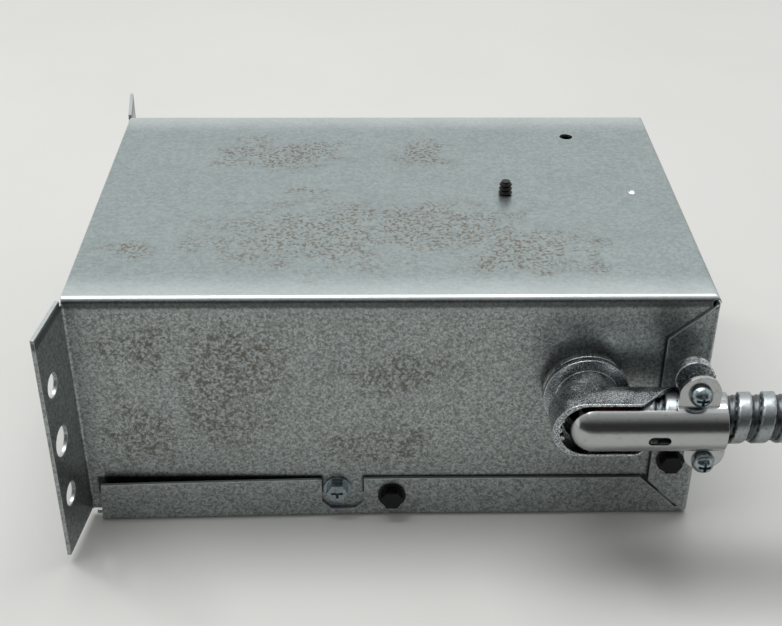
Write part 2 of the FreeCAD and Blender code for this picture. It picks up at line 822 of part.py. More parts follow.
def tie_strap():
    """Strap across the open side, with a tab up each wall for the bonding screws."""
    low = f"({SCREW_PLACES['bonding'][0]} - tie_width / 2)"
    high = f"({SCREW_PLACES['bonding'][0]} + tie_width / 2)"
    near, far = f"({NEAR} + shell_sheet)", f"({FAR} - shell_sheet)"
    strap = fuse(
        block((low, near, "wall_lift"), (high, far, "wall_lift + tie_sheet")),
        block((low, near, "wall_lift"), (high, f"{near} + tie_sheet", "wall_lift + tie_tab_rise")),
        block((low, f"{far} - tie_sheet", "wall_lift"), (high, far, "wall_lift + tie_tab_rise")),
    )
    x, z = SCREW_PLACES["bonding"]
    node("tie_strap", cut(strap, rod((x, near, z), "+Y", f"{far} - {near}", "screw_radius")))


# ---------------------------------------------------------------- fixings


def hex_washer_screw(at, outward, crossed):
    """Self-tapping screw with a hexagonal washer head, its seat at a point on the sheet."""
    head = fuse(
        rod(("0", "0", "0"), "+Z", "washer_thick", "washer_radius"),
        hexagon(("0", "0", "0"), "+Z", "washer_thick + head_rise", "head_across"),
    )
    if crossed:
        top = "washer_thick + head_rise"
        floor = f"{top} - recess_depth"
        half, thin = "recess_span / 2", "recess_slot / 2"
        head = cut(
            head,
            block((f"-{half}", f"-{thin}", floor), (half, thin, top)),
            block((f"-{thin}", f"-{half}", floor), (thin, half, top)),
        )
    shank = rod(("0", "0", "0"), "-Z", "screw_length - 2 * screw_radius", "screw_radius")
    start = "2 * screw_radius - screw_length"
    tip = cone(("0", "0", start), "-Z", "2 * screw_radius", "screw_radius", "screw_point")
    return place(fuse(head, shank, tip), at, outward)


def sheet_screws():
    """Black screws through the cover's flanges, and zinc ones through the walls."""
    sides = (("-Y", f"{NEAR} - cover_sheet"), ("+Y", f"{FAR} + cover_sheet"))
    spots = [SCREW_PLACES[which] for which in ("flange", "strip")]
    screws = [hex_washer_screw((x, y, z), outward, False) for outward, y in sides for x, z in spots]
    node("cover_screws", group(*screws))
    x, z = SCREW_PLACES["bonding"]
    sides = (("-Y", NEAR), ("+Y", FAR))
    node("bonding_screws", group(*[hex_washer_screw((x, y, z), out, True) for out, y in sides]))


THREAD_TURNS = 3


def block_screw():
    """Self-tapping screw from inside: its head seats in the block and its tip stands out on top."""
    seat = f"{BLOCK_FOOT} + block_rise / 2"
    x, y = BLOCK_X, "block_screw_side"
    shank = rod((x, y, seat), "+Z", "block_rise / 2 + shell_sheet", "block_screw_radius")
    head = rod((x, y, seat), "-Z", "pole_screw_rise", "2 * block_screw_radius")
    pieces = [head, shank]
    core = "block_screw_radius - thread_depth / 2"
    half_pitch = "thread_pitch / 2"
    pieces.append(cone((x, y, "box_height"), "+Z", "block_screw_tip", core, "block_screw_point"))
    for turn in range(THREAD_TURNS):
        low = f"box_height + {turn} * thread_pitch"
        crest = f"block_screw_radius + thread_depth - {turn} * thread_fade"
        valley = f"({crest}) - thread_rise"
        pieces.append(cone((x, y, low), "+Z", half_pitch, valley, crest))
        pieces.append(cone((x, y, f"{low} + {half_pitch}"), "+Z", half_pitch, crest, valley))
    node("block_screw", fuse(*pieces))


def ground_rivet():
    """Rivet through the top panel and the ground bar."""
    x, y, foot = RIVET_X, "rivet_side", f"{CEILING} - bar_rise"
    node(
        "ground_rivet",
        fuse(
            rod((x, y, "box_height"), "-Z", "shell_sheet + bar_rise", "rivet_radius"),
            cone((x, y, "box_height"), "+Z", "rivet_head_rise", "rivet_head_radius", "rivet_crown_radius"),
            cone((x, y, foot), "-Z", "rivet_head_rise", "rivet_head_radius", "rivet_radius"),
        ),
    )


# ---------------------------------------------------------------- terminal block and ground bar


END_FIN = "((block_span - fin_thick) / 2)"
OUTER_POLE = f"((pole_pitch + {END_FIN}) / 2)"  # midway between its two fins
POLES = {
    "neutral": f"-{OUTER_POLE}",
    "feed": "-pole_pitch / 2",
    "utility": "pole_pitch / 2",
    "generator": OUTER_POLE,
}


def pole_side(pole):
    return f"(block_screw_side + ({POLES[pole]}))"


def terminal_block():
    """Four-pole block under the top panel, with barrier fins, strips and their screws."""
    x, y = BLOCK_X, "block_screw_side"
    low_x, high_x = f"{x} - block_width / 2", f"{x} + block_width / 2"
    body = block((low_x, f"{y} - block_span / 2", BLOCK_FOOT), (high_x, f"{y} + block_span / 2", CEILING))
    fins = []
    for offset in (f"-{END_FIN}", "-pole_pitch", "pole_pitch", END_FIN):
        middle = f"{y} + ({offset})"
        low = (low_x, f"{middle} - fin_thick / 2", f"{BLOCK_FOOT} - fin_drop")
        fins.append(block(low, (high_x, f"{middle} + fin_thick / 2", BLOCK_FOOT)))
    seat = f"{BLOCK_FOOT} + block_rise / 2"
    well = rod((x, y, seat), "-Z", "block_rise / 2", "2 * block_screw_radius + well_gap")
    hole = rod((x, y, seat), "+Z", "block_rise / 2", "block_screw_radius")
    node("terminal_block", cut(fuse(body, *fins), well, hole))
    strips, screws = [], []
    for pole in POLES:
        side = pole_side(pole)
        low = (f"{x} - pole_strip / 2", f"{side} - pole_strip_width / 2", STRIP_FOOT)
        high = (f"{x} + pole_strip / 2", f"{side} + pole_strip_width / 2", BLOCK_FOOT)
        strips.append(block(low, high))
        screws += [slotted_head((f"{x} {step} pole_screw_offset", side, STRIP_FOOT), "-Z") for step in "-+"]
    node("terminal_strips", group(*strips))
    node("terminal_screws", group(*screws))


def slotted_head(at, outward, radius="pole_screw_radius", rise="pole_screw_rise"):
    """The head of a terminal screw, slotted, seated on its clamp."""
    head = rod(("0", "0", "0"), "+Z", rise, radius)
    slot = block((f"-({radius})", "-screw_slot / 2", f"({rise}) / 2"), (radius, "screw_slot / 2", rise))
    return place(cut(head, slot), at, outward)


def ground_bar():
    x, y, foot = RIVET_X, "rivet_side", f"({CEILING} - bar_rise)"
    low = (f"{x} - bar_width / 2", f"{y} - bar_span / 2", foot)
    bar = block(low, (f"{x} + bar_width / 2", f"{y} + bar_span / 2", CEILING))
    node("ground_bar", cut(bar, rod((x, y, foot), "+Z", "bar_rise", "rivet_radius")))
    screws = [slotted_head((x, f"{y} {step} bar_screw_offset", foot), "-Z") for step in "-+"]
    node("ground_screws", group(*screws))


# ---------------------------------------------------------------- rotary changeover switch


def dial_plate():
    low = (f"{FACE} - dial_thick", "-dial_side / 2", f"{MIDDLE} - dial_side / 2")
    plate = block(low, (FACE, "dial_side / 2", f"{MIDDLE} + dial_side / 2"))
    holes = [rod((FACE, "0", MIDDLE), "-X", "dial_thick", "shaft_hole_radius")]
    for step in "-+":
        spot = (FACE, "0", f"{MIDDLE} {step} mount_screw_offset")
        holes.append(rod(spot, "-X", "dial_thick", "mount_screw_head_radius"))
    node("dial_plate", cut(plate, *holes))


KNOB_BACK = f"({FACE} - dial_thick - mount_screw_head_rise - knob_gap)"
KNOB_FRONT = f"({KNOB_BACK} - knob_skirt_thick - knob_grip_rise)"


def knob():
    """Round skirt with a straight grip across it and a pointer groove along the grip."""
    body = new_body("knob")
    skirt = circles(body, "YZ_Plane", [("0", MIDDLE, "knob_skirt_radius")], KNOB_BACK)
    pad(body, skirt, "knob_skirt_thick", back=True)
    half, reach = "knob_grip_width / 2", "sqrt(knob_skirt_radius ^ 2 - knob_grip_width ^ 2 / 4)"
    grip = [
        (f"-{half}", f"{MIDDLE} - {reach} + knob_edge"),
        (half, f"{MIDDLE} - {reach} + knob_edge"),
        (half, f"{MIDDLE} + {reach} - knob_edge"),
        (f"-{half}", f"{MIDDLE} + {reach} - knob_edge"),
    ]
    pad(body, polygon(body, "YZ_Plane", grip, f"{KNOB_BACK} - knob_skirt_thick"), "knob_grip_rise", back=True)
    round_edges(
        body,
        "knob_edge",
        *[{"x": KNOB_FRONT, "y": side} for side in (half, f"-{half}")],
        *[{"x": KNOB_FRONT, "z": up} for up in (grip[0][1], grip[2][1])],
        *[{"y": side, "z": up} for side in (half, f"-{half}") for up in (grip[0][1], grip[2][1])],
    )
    thin = "pointer_width / 2"
    groove = [
        (f"-{thin}", f"{MIDDLE} + pointer_start"),
        (thin, f"{MIDDLE} + pointer_start"),
        (thin, f"{MIDDLE} + knob_skirt_radius"),
        (f"-{thin}", f"{MIDDLE} + knob_skirt_radius"),
    ]
    pocket(body, polygon(body, "YZ_Plane", groove, KNOB_FRONT), "pointer_depth", back=True)
    side = "shaft_side / 2"
    socket = [
        (f"-{side}", f"{MIDDLE} - {side}"),
        (side, f"{MIDDLE} - {side}"),
        (side, f"{MIDDLE} + {side}"),
        (f"-{side}", f"{MIDDLE} + {side}"),
    ]
    pocket(body, polygon(body, "YZ_Plane", socket, KNOB_BACK), "shaft_entry")
    well = circles(body, "YZ_Plane", [("0", MIDDLE, "knob_screw_head_radius")], KNOB_FRONT)
    pocket(body, well, "knob_screw_head_rise", back=True)
    hole = circles(body, "YZ_Plane", [("0", MIDDLE, "knob_screw_radius")], KNOB_FRONT)
    pocket(body, hole, "knob_skirt_thick + knob_grip_rise - shaft_entry", back=True)


def knob_screw():
    seat = (f"{KNOB_FRONT} + knob_screw_head_rise", "0", MIDDLE)
    head = cone(
        seat, "-X", "knob_screw_head_rise", "knob_screw_head_radius", "knob_screw_crown_radius"
    )
    shank = rod(seat, "+X", "knob_screw_length", "knob_screw_radius")
    front, half, thin = KNOB_FRONT, "recess_span / 2", "recess_slot / 2"
    deep = f"{front} + recess_depth"
    cross = [
        block((front, f"-{half}", f"{MIDDLE} - {thin}"), (deep, half, f"{MIDDLE} + {thin}")),
        block((front, f"-{thin}", f"{MIDDLE} - {half}"), (deep, thin, f"{MIDDLE} + {half}")),
    ]
    node("knob_screw", cut(fuse(head, shank), *cross))


def switch_shaft():
    """Square shaft from the knob to the end plate, where a round tail carries it."""
    half = "shaft_side / 2"
    front = f"({KNOB_BACK} - shaft_entry)"
    back = f"({SWITCH_END} - shaft_step)"
    square = block((front, f"-{half}", f"{MIDDLE} - {half}"), (back, half, f"{MIDDLE} + {half}"))
    tail = rod((back, "0", MIDDLE), "+X", "shaft_tail", "shaft_tail_radius - running_fit")
    knob_web = "(knob_skirt_thick + knob_grip_rise - shaft_entry - knob_screw_head_rise)"
    screw_depth = f"knob_screw_length - {knob_web}"
    hole = rod((front, "0", MIDDLE), "+X", screw_depth, "knob_screw_radius")
    node("switch_shaft", cut(fuse(square, tail), hole))


def stage_box(front, thick, floor, cavity):
    """A square housing with a round cavity open at the back."""
    half = "stage_side / 2"
    back = f"({front} + {thick})"
    outer = block((front, f"-{half}", f"{MIDDLE} - {half}"), (back, half, f"{MIDDLE} + {half}"))
    return outer, rod((f"{front} + {floor}", "0", MIDDLE), "+X", f"{thick} - ({floor})", cavity)


def tie_rod_holes(front, thick):
    spots = [(front, f"{side} tie_rod_offset", f"{MIDDLE} {side} tie_rod_offset") for side in "-+"]
    return [rod(spot, "+X", thick, "tie_rod_radius") for spot in spots]


INDEX_NOTCHES = 6


def index_unit():
    """Detent unit behind the plate: housing, star wheel on the shaft and a leaf spring."""
    outer, cavity = stage_box(PANEL_BACK, "index_thick", "stage_floor", "index_cavity_radius")
    bore = rod((PANEL_BACK, "0", MIDDLE), "+X", "stage_floor", "index_hub_radius + running_fit")
    rods = tie_rod_holes(f"({STAGE} - tie_rod_entry)", "tie_rod_entry")
    screws = []
    for step in "-+":
        spot = (PANEL_BACK, "0", f"{MIDDLE} {step} mount_screw_offset")
        screws.append(rod(spot, "+X", f"{MOUNT_SCREW} - plate_sheet", "mount_screw_radius"))
    inner, outer_edge = "index_spring_out", "(index_spring_out + spring_thick)"
    ends = "(spring_half_length + spring_tail)"
    reach = f"({ends} + spring_end_gap)"
    spring_x = (f"({STAGE} - spring_width - spring_setback)", f"{STAGE} - spring_setback")
    slot = block(
        (f"{spring_x[0]} - spring_side_gap", inner, f"{MIDDLE} - {reach}"),
        (STAGE, f"{outer_edge} + spring_room", f"{MIDDLE} + {reach}"),
    )
    posts = []
    for step in "-+":
        post_z = f"{MIDDLE} {step} (spring_half_length + post_place)"
        foot = (f"{PANEL_BACK} + stage_floor", f"{outer_edge} + post_radius + post_gap", post_z)
        posts.append(rod(foot, "+X", "index_thick - stage_floor - post_end_gap", "post_radius"))
    housing = cut(outer, cavity, bore, *rods, *screws, slot)
    node("index_housing", fuse(housing, *posts))
    wheel_front = f"({STAGE} - index_wheel_thick - index_wheel_gap)"
    hub_front = f"({PANEL_BACK} - plate_sheet)"
    wheel = fuse(
        rod((wheel_front, "0", MIDDLE), "+X", "index_wheel_thick", "index_wheel_radius"),
        rod((hub_front, "0", MIDDLE), "+X", f"{wheel_front} - {hub_front}", "index_hub_radius"),
    )
    notches = []
    for step in range(INDEX_NOTCHES):
        angle = 360 / INDEX_NOTCHES * step
        y = f"cos({angle}) * {NOTCH_CENTRE}"
        z = f"{MIDDLE} + sin({angle}) * {NOTCH_CENTRE}"
        notches.append(rod((wheel_front, y, z), "+X", "index_wheel_thick", "index_notch_radius"))
    half = "shaft_side / 2"
    socket = block((hub_front, f"-{half}", f"{MIDDLE} - {half}"), (STAGE, half, f"{MIDDLE} + {half}"))
    node("index_wheel", cut(wheel, *notches, socket))
    leaf = block((spring_x[0], inner, f"{MIDDLE} - {ends}"), (spring_x[1], outer_edge, f"{MIDDLE} + {ends}"))
    bump_radius = "index_notch_radius - spring_bump_gap"
    bump = rod((spring_x[0], NOTCH_CENTRE, MIDDLE), "+X", "spring_width", bump_radius)
    inward = block((spring_x[0], "0", f"{MIDDLE} - {ends}"), (spring_x[1], outer_edge, f"{MIDDLE} + {ends}"))
    node("index_spring", fuse(leaf, common(bump, inward)))


STAGES = {
    "line": {"front": STAGE, "side": "+", "rest": "90 + throw"},
    "generator": {"front": f"({STAGE} + stage_thick)", "side": "-", "rest": "-90 - throw"},
}


def contact_stages():
    """Two single-pole stages: the line side closes one throw from rest, the generator side the other."""
    contacts, screws, blades = [], [], []
    for name, stage in STAGES.items():
        front, side = stage["front"], stage["side"]
        outer, cavity = stage_box(front, "stage_thick", "stage_floor", "stage_cavity_radius")
        bore = rod((front, "0", MIDDLE), "+X", "stage_floor", "stage_bore_radius")
        middle = f"({front} + stage_floor + (stage_thick - stage_floor) / 2)"
        level = f"({MIDDLE} {side} contact_offset)"
        thin, wide = "contact_thick / 2", "contact_width / 2"
        reach = f"sqrt((blade_radius + contact_gap) ^ 2 - (contact_offset - {thin}) ^ 2)"
        slots = []
        for sign in ("-", "+"):
            ends = sorted((f"{sign}({reach})", f"{sign}(stage_side / 2)"), key=value)
            low = (f"{middle} - {wide}", ends[0], f"{level} - {thin}")
            high = (f"{middle} + {wide}", ends[1], f"{level} + {thin}")
            slots.append(block(low, high))
            faces = (f"{sign}(stage_side / 2)", f"{sign}(stage_side / 2 + clamp_depth)")
            clamp_ends = sorted(faces, key=value)
            clamp = block(
                (f"{middle} - clamp_width / 2", clamp_ends[0], f"{level} - clamp_rise / 2"),
                (f"{middle} + clamp_width / 2", clamp_ends[1], f"{level} + clamp_rise / 2"),
            )
            contacts.append(fuse(block(low, high), clamp))
            seat = (middle, f"{sign}(stage_side / 2 + clamp_depth)", level)
            screws.append(slotted_head(seat, f"{sign}Y", "clamp_screw_radius", "clamp_screw_rise"))
        node(f"{name}_stage", cut(outer, cavity, bore, *slots, *tie_rod_holes(front, "stage_thick")))
        rotor_front = f"({middle} - rotor_thick / 2)"
        half = "shaft_side / 2"
        rotor = rod((rotor_front, "0", MIDDLE), "+X", "rotor_thick", "rotor_radius")
        rotor_back = f"{rotor_front} + rotor_thick"
        low, high = f"{MIDDLE} - {half}", f"{MIDDLE} + {half}"
        socket = block((rotor_front, f"-{half}", low), (rotor_back, half, high))
        node(f"{name}_rotor", cut(rotor, socket))
        blades.append(blade(middle, value(stage["rest"])))
    node("fixed_contacts", group(*contacts))
    node("contact_screws", group(*screws))
    node("rotor_blades", group(*blades))


def blade(middle, rest):
    """A bridging blade round part of the rotor, at its angle from +Y when the knob is at rest."""
    disc = doc.addObject("Part::Cylinder", "Sector")
    disc.setExpression("Radius", bound("blade_radius"))
    disc.setExpression("Height", bound("blade_thick"))
    disc.setExpression("Angle", bound("blade_sweep"))
    about_x = FreeCAD.Rotation(FreeCAD.Vector(1, 0, 0), rest - value("blade_sweep") / 2)
    to_x = FreeCAD.Rotation(FreeCAD.Vector(0, 1, 0), FreeCAD.Vector(0, 0, 1), FreeCAD.Vector(1, 0, 0), "ZXY")
    disc.Placement = FreeCAD.Placement(FreeCAD.Vector(), about_x.multiply(to_x))
    for letter, text in zip("xyz", (f"{middle} - blade_thick / 2", "0", MIDDLE)):
        disc.setExpression(f"Placement.Base.{letter}", bound(text))
    core = rod((f"{middle} - blade_thick / 2", "0", MIDDLE), "+X", "blade_thick", "rotor_radius")
    return cut(disc, core)


def switch_fixings():
    """End plate, the rods that hold the stack together and the screws that hold it to the plate."""
    half = "stage_side / 2"
    back = f"({SWITCH_END} + end_plate_thick)"
    plate = block((SWITCH_END, f"-{half}", f"{MIDDLE} - {half}"), (back, half, f"{MIDDLE} + {half}"))
    bore = rod((SWITCH_END, "0", MIDDLE), "+X", "end_plate_thick", "shaft_tail_radius")
    node("switch_end_plate", cut(plate, bore, *tie_rod_holes(SWITCH_END, "end_plate_thick")))
    rods = []
    for side in "-+":
        seat = (back, f"{side} tie_rod_offset", f"{MIDDLE} {side} tie_rod_offset")
        length = "end_plate_thick + 2 * stage_thick + tie_rod_entry"
        head = rod(seat, "+X", "tie_rod_head_rise", "tie_rod_head_radius")
        rods.append(fuse(head, rod(seat, "-X", length, "tie_rod_radius")))
    node("tie_screws", group(*rods))
    screws = []
    for step in "-+":
        seat = (FACE, "0", f"{MIDDLE} {step} mount_screw_offset")
        head = cone(seat, "-X", "mount_screw_head_rise", "mount_screw_head_radius", "mount_screw_radius")
        screws.append(fuse(head, rod(seat, "+X", MOUNT_SCREW, "mount_screw_radius")))
    node("switch_mount_screws", group(*screws))


# ---------------------------------------------------------------- breaker and pilot lamps


def breaker():
    """Push-to-reset breaker: body with a threaded bushing, panel nut, button and two tabs."""
    side = BREAKER_Y
    back = f"({PANEL_BACK} + breaker_depth)"
    case = block(
        (PANEL_BACK, f"{side} - breaker_width / 2", f"{MIDDLE} - breaker_rise / 2"),
        (back, f"{side} + breaker_width / 2", f"{MIDDLE} + breaker_rise / 2"),
    )
    bushing = rod((PANEL_BACK, side, MIDDLE), "-X", "plate_sheet + bushing_reach", "bushing_radius")
    bore_end = f"({FACE} - bushing_reach)"
    bore_depth = "button_depth + button_end_gap"
    bore = rod((bore_end, side, MIDDLE), "+X", bore_depth, "button_radius + button_bore_gap")
    node("breaker_body", cut(fuse(case, bushing), bore))
    nut = hexagon((FACE, side, MIDDLE), "-X", "breaker_nut_thick", "breaker_nut_across")
    node("breaker_nut", cut(nut, rod((FACE, side, MIDDLE), "-X", "breaker_nut_thick", "bushing_radius")))
    tip = f"({FACE} - button_reach)"
    brow = f"({tip} + button_crown)"
    dome = cone((brow, side, MIDDLE), "-X", "button_crown", "button_radius", "button_crown_radius")
    stem = rod((brow, side, MIDDLE), "+X", f"{bore_end} + button_depth - {brow}", "button_radius")
    node("breaker_button", fuse(dome, stem))
    tabs = []
    for step in "-+":
        level = f"{MIDDLE} {step} tab_spread"
        low = (back, f"{side} - tab_thick / 2", f"{level} - tab_rise / 2")
        high = (f"{back} + tab_length", f"{side} + tab_thick / 2", f"{level} + tab_rise / 2")
        tabs.append(block(low, high))
    node("breaker_tabs", group(*tabs))


def pilot_lamps():
    """Two lamps, one above the other: body, lens, bezel and a clip behind the plate."""
    bezels, clips = [], []
    for name, step in (("utility", "+"), ("generator", "-")):
        level = f"({MIDDLE} {step} lamp_spread)"
        front = (f"{FACE} - bezel_thick", LAMP_Y, level)
        long = "bezel_thick + plate_sheet + lamp_depth"
        well = rod(front, "+X", "bezel_thick + plate_sheet", "lens_radius")
        node(f"{name}_lamp_body", cut(rod(front, "+X", long, "lamp_radius"), well))
        dome = common(
            ball((f"{FACE} - bezel_thick - lens_rise + lens_curve", LAMP_Y, level), "lens_curve"),
            rod(front, "-X", "2 * lens_rise", "lens_radius"),
        )
        stem = rod(front, "+X", "bezel_thick + plate_sheet", "lens_radius")
        node(f"{name}_lamp_lens", fuse(dome, stem))
        face_radius = "bezel_radius - bezel_thick / 2"
        ring = cone((FACE, LAMP_Y, level), "-X", "bezel_thick", "bezel_radius", face_radius)
        bezels.append(cut(ring, rod((FACE, LAMP_Y, level), "-X", "bezel_thick", "lamp_radius")))
        clip = rod((PANEL_BACK, LAMP_Y, level), "+X", "clip_thick", "clip_radius")
        clips.append(cut(clip, rod((PANEL_BACK, LAMP_Y, level), "+X", "clip_thick", "lamp_radius")))
    node("lamp_bezels", group(*bezels))
    node("lamp_clips", group(*clips))


# ---------------------------------------------------------------- angled connector


PEG_ANGLES = (160, 185, 205)  # degrees from +X towards +Z, as are the next
LOBE_ANGLES = (-150, -120, -90, -60, -30, 0, 180, 45, 135)
LOCKNUT_NOTCHES = 6
POCKET_RADIUS = "(strap_radius + cast_wall_gap)"
NOSE_X = f"({HUB_X} - nose_gap)"
LUGS = {
    "upper": (f"({HUB_X} + lug_place)", f"({HUB_Z} + lug_offset)"),
    "lower": (f"({HUB_X} + lug_place + lug_stagger)", f"({HUB_Z} - lug_offset)"),
}


def out(distance):
    """A place that far outside the near wall."""
    return f"({NEAR} - ({distance}))"


def clamp_holes(front, length):
    """Holes for the two clamp screws, from a distance outside the wall inward."""
    return [rod((x, out(front), z), "+Y", length, "clamp_screw_shank") for x, z in LUGS.values()]


def connector_body():
    """Die-cast hub and neck with an open trough for the conduit and two clamp bosses."""
    solid = [
        rod((HUB_X, NEAR, HUB_Z), "-Y", "hub_foot", "hub_foot_radius"),
        rod((HUB_X, out("hub_foot"), HUB_Z), "-Y", "hub_thick - hub_foot", "hub_radius"),
        rod((HUB_X, out("hub_thick"), HUB_Z), "-Y", "hub_groove", "hub_groove_radius"),
        rod((HUB_X, out("hub_thick + hub_groove"), HUB_Z), "-Y", "rim_thick", "hub_radius"),
        rod((HUB_X, NEAR, HUB_Z), "-Y", "cast_front", "neck_radius"),
        rod((HUB_X, NEAR, HUB_Z), "+Y", "nipple_length", "nipple_radius"),
        trough(),
    ]
    for x, z in LUGS.values():
        solid.append(rod((x, out("boss_front"), z), "+Y", "boss_front - boss_back", "boss_radius"))
    solid += collar()
    upper, lower = LUGS["upper"], LUGS["lower"]
    saddle_low = (f"{upper[0]} - boss_radius / 2", out("boss_front - saddle_setback"), lower[1])
    saddle_high = (f"{lower[0]} + boss_radius / 2", out("cast_back"), upper[1])
    solid.append(block(saddle_low, saddle_high))
    bore_start = (f"{CONDUIT_START} - bushing_flange", CONDUIT_Y, HUB_Z)
    bore = rod(bore_start, "+X", "trough_end + boss_radius", "conduit_radius + conduit_fit")
    pocket = rod((NOSE_X, out("cast_front"), HUB_Z), "+Y", "cast_front - conduit_out", POCKET_RADIUS)
    channel = block(
        (NOSE_X, out("cast_front"), f"{HUB_Z} - {POCKET_RADIUS}"),
        (f"{HUB_X} + trough_end + boss_radius", CONDUIT_Y, f"{HUB_Z} + {POCKET_RADIUS}"),
    )
    elbow_depth = "cast_front - cast_back - elbow_floor"
    elbow = rod((HUB_X, out("cast_front"), HUB_Z), "+Y", elbow_depth, POCKET_RADIUS)
    wire_way = rod((HUB_X, CONDUIT_Y, HUB_Z), "+X", "elbow_reach", "wire_way_radius")
    throat = rod((HUB_X, out("cast_front"), HUB_Z), "+Y", "cast_front + nipple_length", "throat_radius")
    holes = clamp_holes("boss_front", "boss_front - cast_back")
    hollows = (bore, pocket, channel, elbow, wire_way, throat)
    node("connector_body", fuse(cut(fuse(*solid), *hollows, *lobe_cuts(), *holes), *pegs()))


def collar():
    """The neck's end drawn out behind the strap's nose, tapering back toward the wall."""
    centre = f"({HUB_X} - collar_shift)"
    seat = (centre, out("collar_back"), HUB_Z)
    low = (centre, out("cast_front"), f"{HUB_Z} - neck_radius")
    return [
        rod(seat, "-Y", "cast_front - collar_back", "neck_radius"),
        block(low, (HUB_X, out("collar_back"), f"{HUB_Z} + neck_radius")),
        cone(seat, "+Y", "collar_taper", "neck_radius", "collar_root_radius"),
    ]


def pegs():
    """Small pegs on the pocket's wall behind the strap's nose."""
    made = []
    for angle in PEG_ANGLES:
        x = f"{NOSE_X} + cos({angle}) * peg_out"
        z = f"{HUB_Z} + sin({angle}) * peg_out"
        length = "cast_front - peg_setback - conduit_out"
        made.append(rod((x, CONDUIT_Y, z), "-Y", length, "peg_radius"))
    return made


def trough():
    """The cast trough in plan, its rim swept back before the clamp, rounded behind."""
    body = doc.addObject("PartDesign::Body", "Trough")
    back, front = out("cast_back"), out("cast_front")
    plan = [
        (HUB_X, front),
        (f"{HUB_X} + trough_rim", front),
        (f"{HUB_X} + trough_rim + trough_sweep", out("trough_low_front")),
        (f"{HUB_X} + trough_end", out("trough_low_front")),
        (f"{HUB_X} + trough_end", back),
        (HUB_X, back),
    ]
    low, high = f"{HUB_Z} - neck_radius", f"{HUB_Z} + neck_radius"
    pad(body, polygon(body, "XY_Plane", plan, low), "2 * neck_radius")
    round_edges(body, "trough_round", {"y": back, "z": low}, {"y": back, "z": high})
    round_edges(body, "trough_bend", {"x": f"{HUB_X} + trough_rim", "y": front})
    return body


def lobe_cuts():
    """Notches round the hub's shoulder, left open at the top where one long lobe stands."""
    cuts = []
    for angle in LOBE_ANGLES:
        x = f"{HUB_X} + cos({angle}) * (hub_radius + lobe_cut / 2 - lobe_depth)"
        z = f"{HUB_Z} + sin({angle}) * (hub_radius + lobe_cut / 2 - lobe_depth)"
        cuts.append(rod((x, NEAR, z), "-Y", "hub_thick", "lobe_cut / 2"))
    return cuts


def connector_strap():
    """Stamped half-shell over the conduit, domed at the elbow, with two clamp lugs and a rib."""
    axis_y = out("strap_out")
    mouth = f"{HUB_X} + strap_length"
    inner = "strap_radius - strap_sheet"

    def half_shell(radius):
        tube = rod((HUB_X, axis_y, HUB_Z), "+X", "strap_length", radius)
        bottom, top = f"{HUB_Z} - strap_radius", f"{HUB_Z} + strap_radius"
        front = out("strap_out + strap_radius")
        keep = fuse(
            block((f"{HUB_X} - strap_radius", front, bottom), (mouth, out("strap_out + strap_edge"), top)),
            block((f"{HUB_X} + lug_place - strap_lug_radius", front, bottom), (mouth, axis_y, top)),
        )
        return common(fuse(tube, ball((HUB_X, axis_y, HUB_Z), radius)), keep)

    rib_x = f"({mouth} - strap_rib_inset - strap_rib)"
    lugs = []
    for (x, z), rise in zip(LUGS.values(), ("0", "lug_raise")):
        centre = f"({z} + {rise})"
        plate = rod((x, out("strap_lug_front"), centre), "+Y", "strap_lug_thick", "strap_lug_radius")
        low, high = sorted((centre, HUB_Z), key=value)
        web_low = (f"{x} - strap_lug_radius", out("strap_lug_front"), low)
        web_high = (f"{x} + strap_lug_radius", out("strap_lug_front - strap_lug_thick"), high)
        lugs += [plate, block(web_low, web_high)]
    crown = common(
        rod((rib_x, axis_y, HUB_Z), "+X", "strap_rib", inner),
        block(
            (rib_x, out("strap_out + strap_radius"), f"{HUB_Z} - strap_radius"),
            (f"{rib_x} + strap_rib", out("strap_out + strap_radius / 2"), f"{HUB_Z} + strap_radius"),
        ),
    )
    hollow = half_shell(inner)
    room_length = "strap_length + strap_lug_radius"
    conduit_room = rod((HUB_X, CONDUIT_Y, HUB_Z), "+X", room_length, "conduit_radius + conduit_fit")
    shell = cut(fuse(half_shell("strap_radius"), *lugs), hollow, *window())
    holes = clamp_holes("strap_lug_front", "strap_lug_thick")
    node("connector_strap", cut(fuse(shell, crown), conduit_room, *holes))


def window():
    """Oval inspection window in the strap's front, a little below its middle."""
    half = "(window_length - window_width) / 2"
    level = f"{HUB_Z} - window_drop"
    front = out("strap_out + strap_radius + window_margin")
    ends = [f"{HUB_X} + window_place {step} {half}" for step in "-+"]
    tools = [rod((x, front, level), "+Y", "strap_radius", "window_width / 2") for x in ends]
    low = (ends[0], front, f"{level} - window_width / 2")
    tools.append(block(low, (ends[1], out("strap_out + window_margin"), f"{level} + window_width / 2")))
    return tools


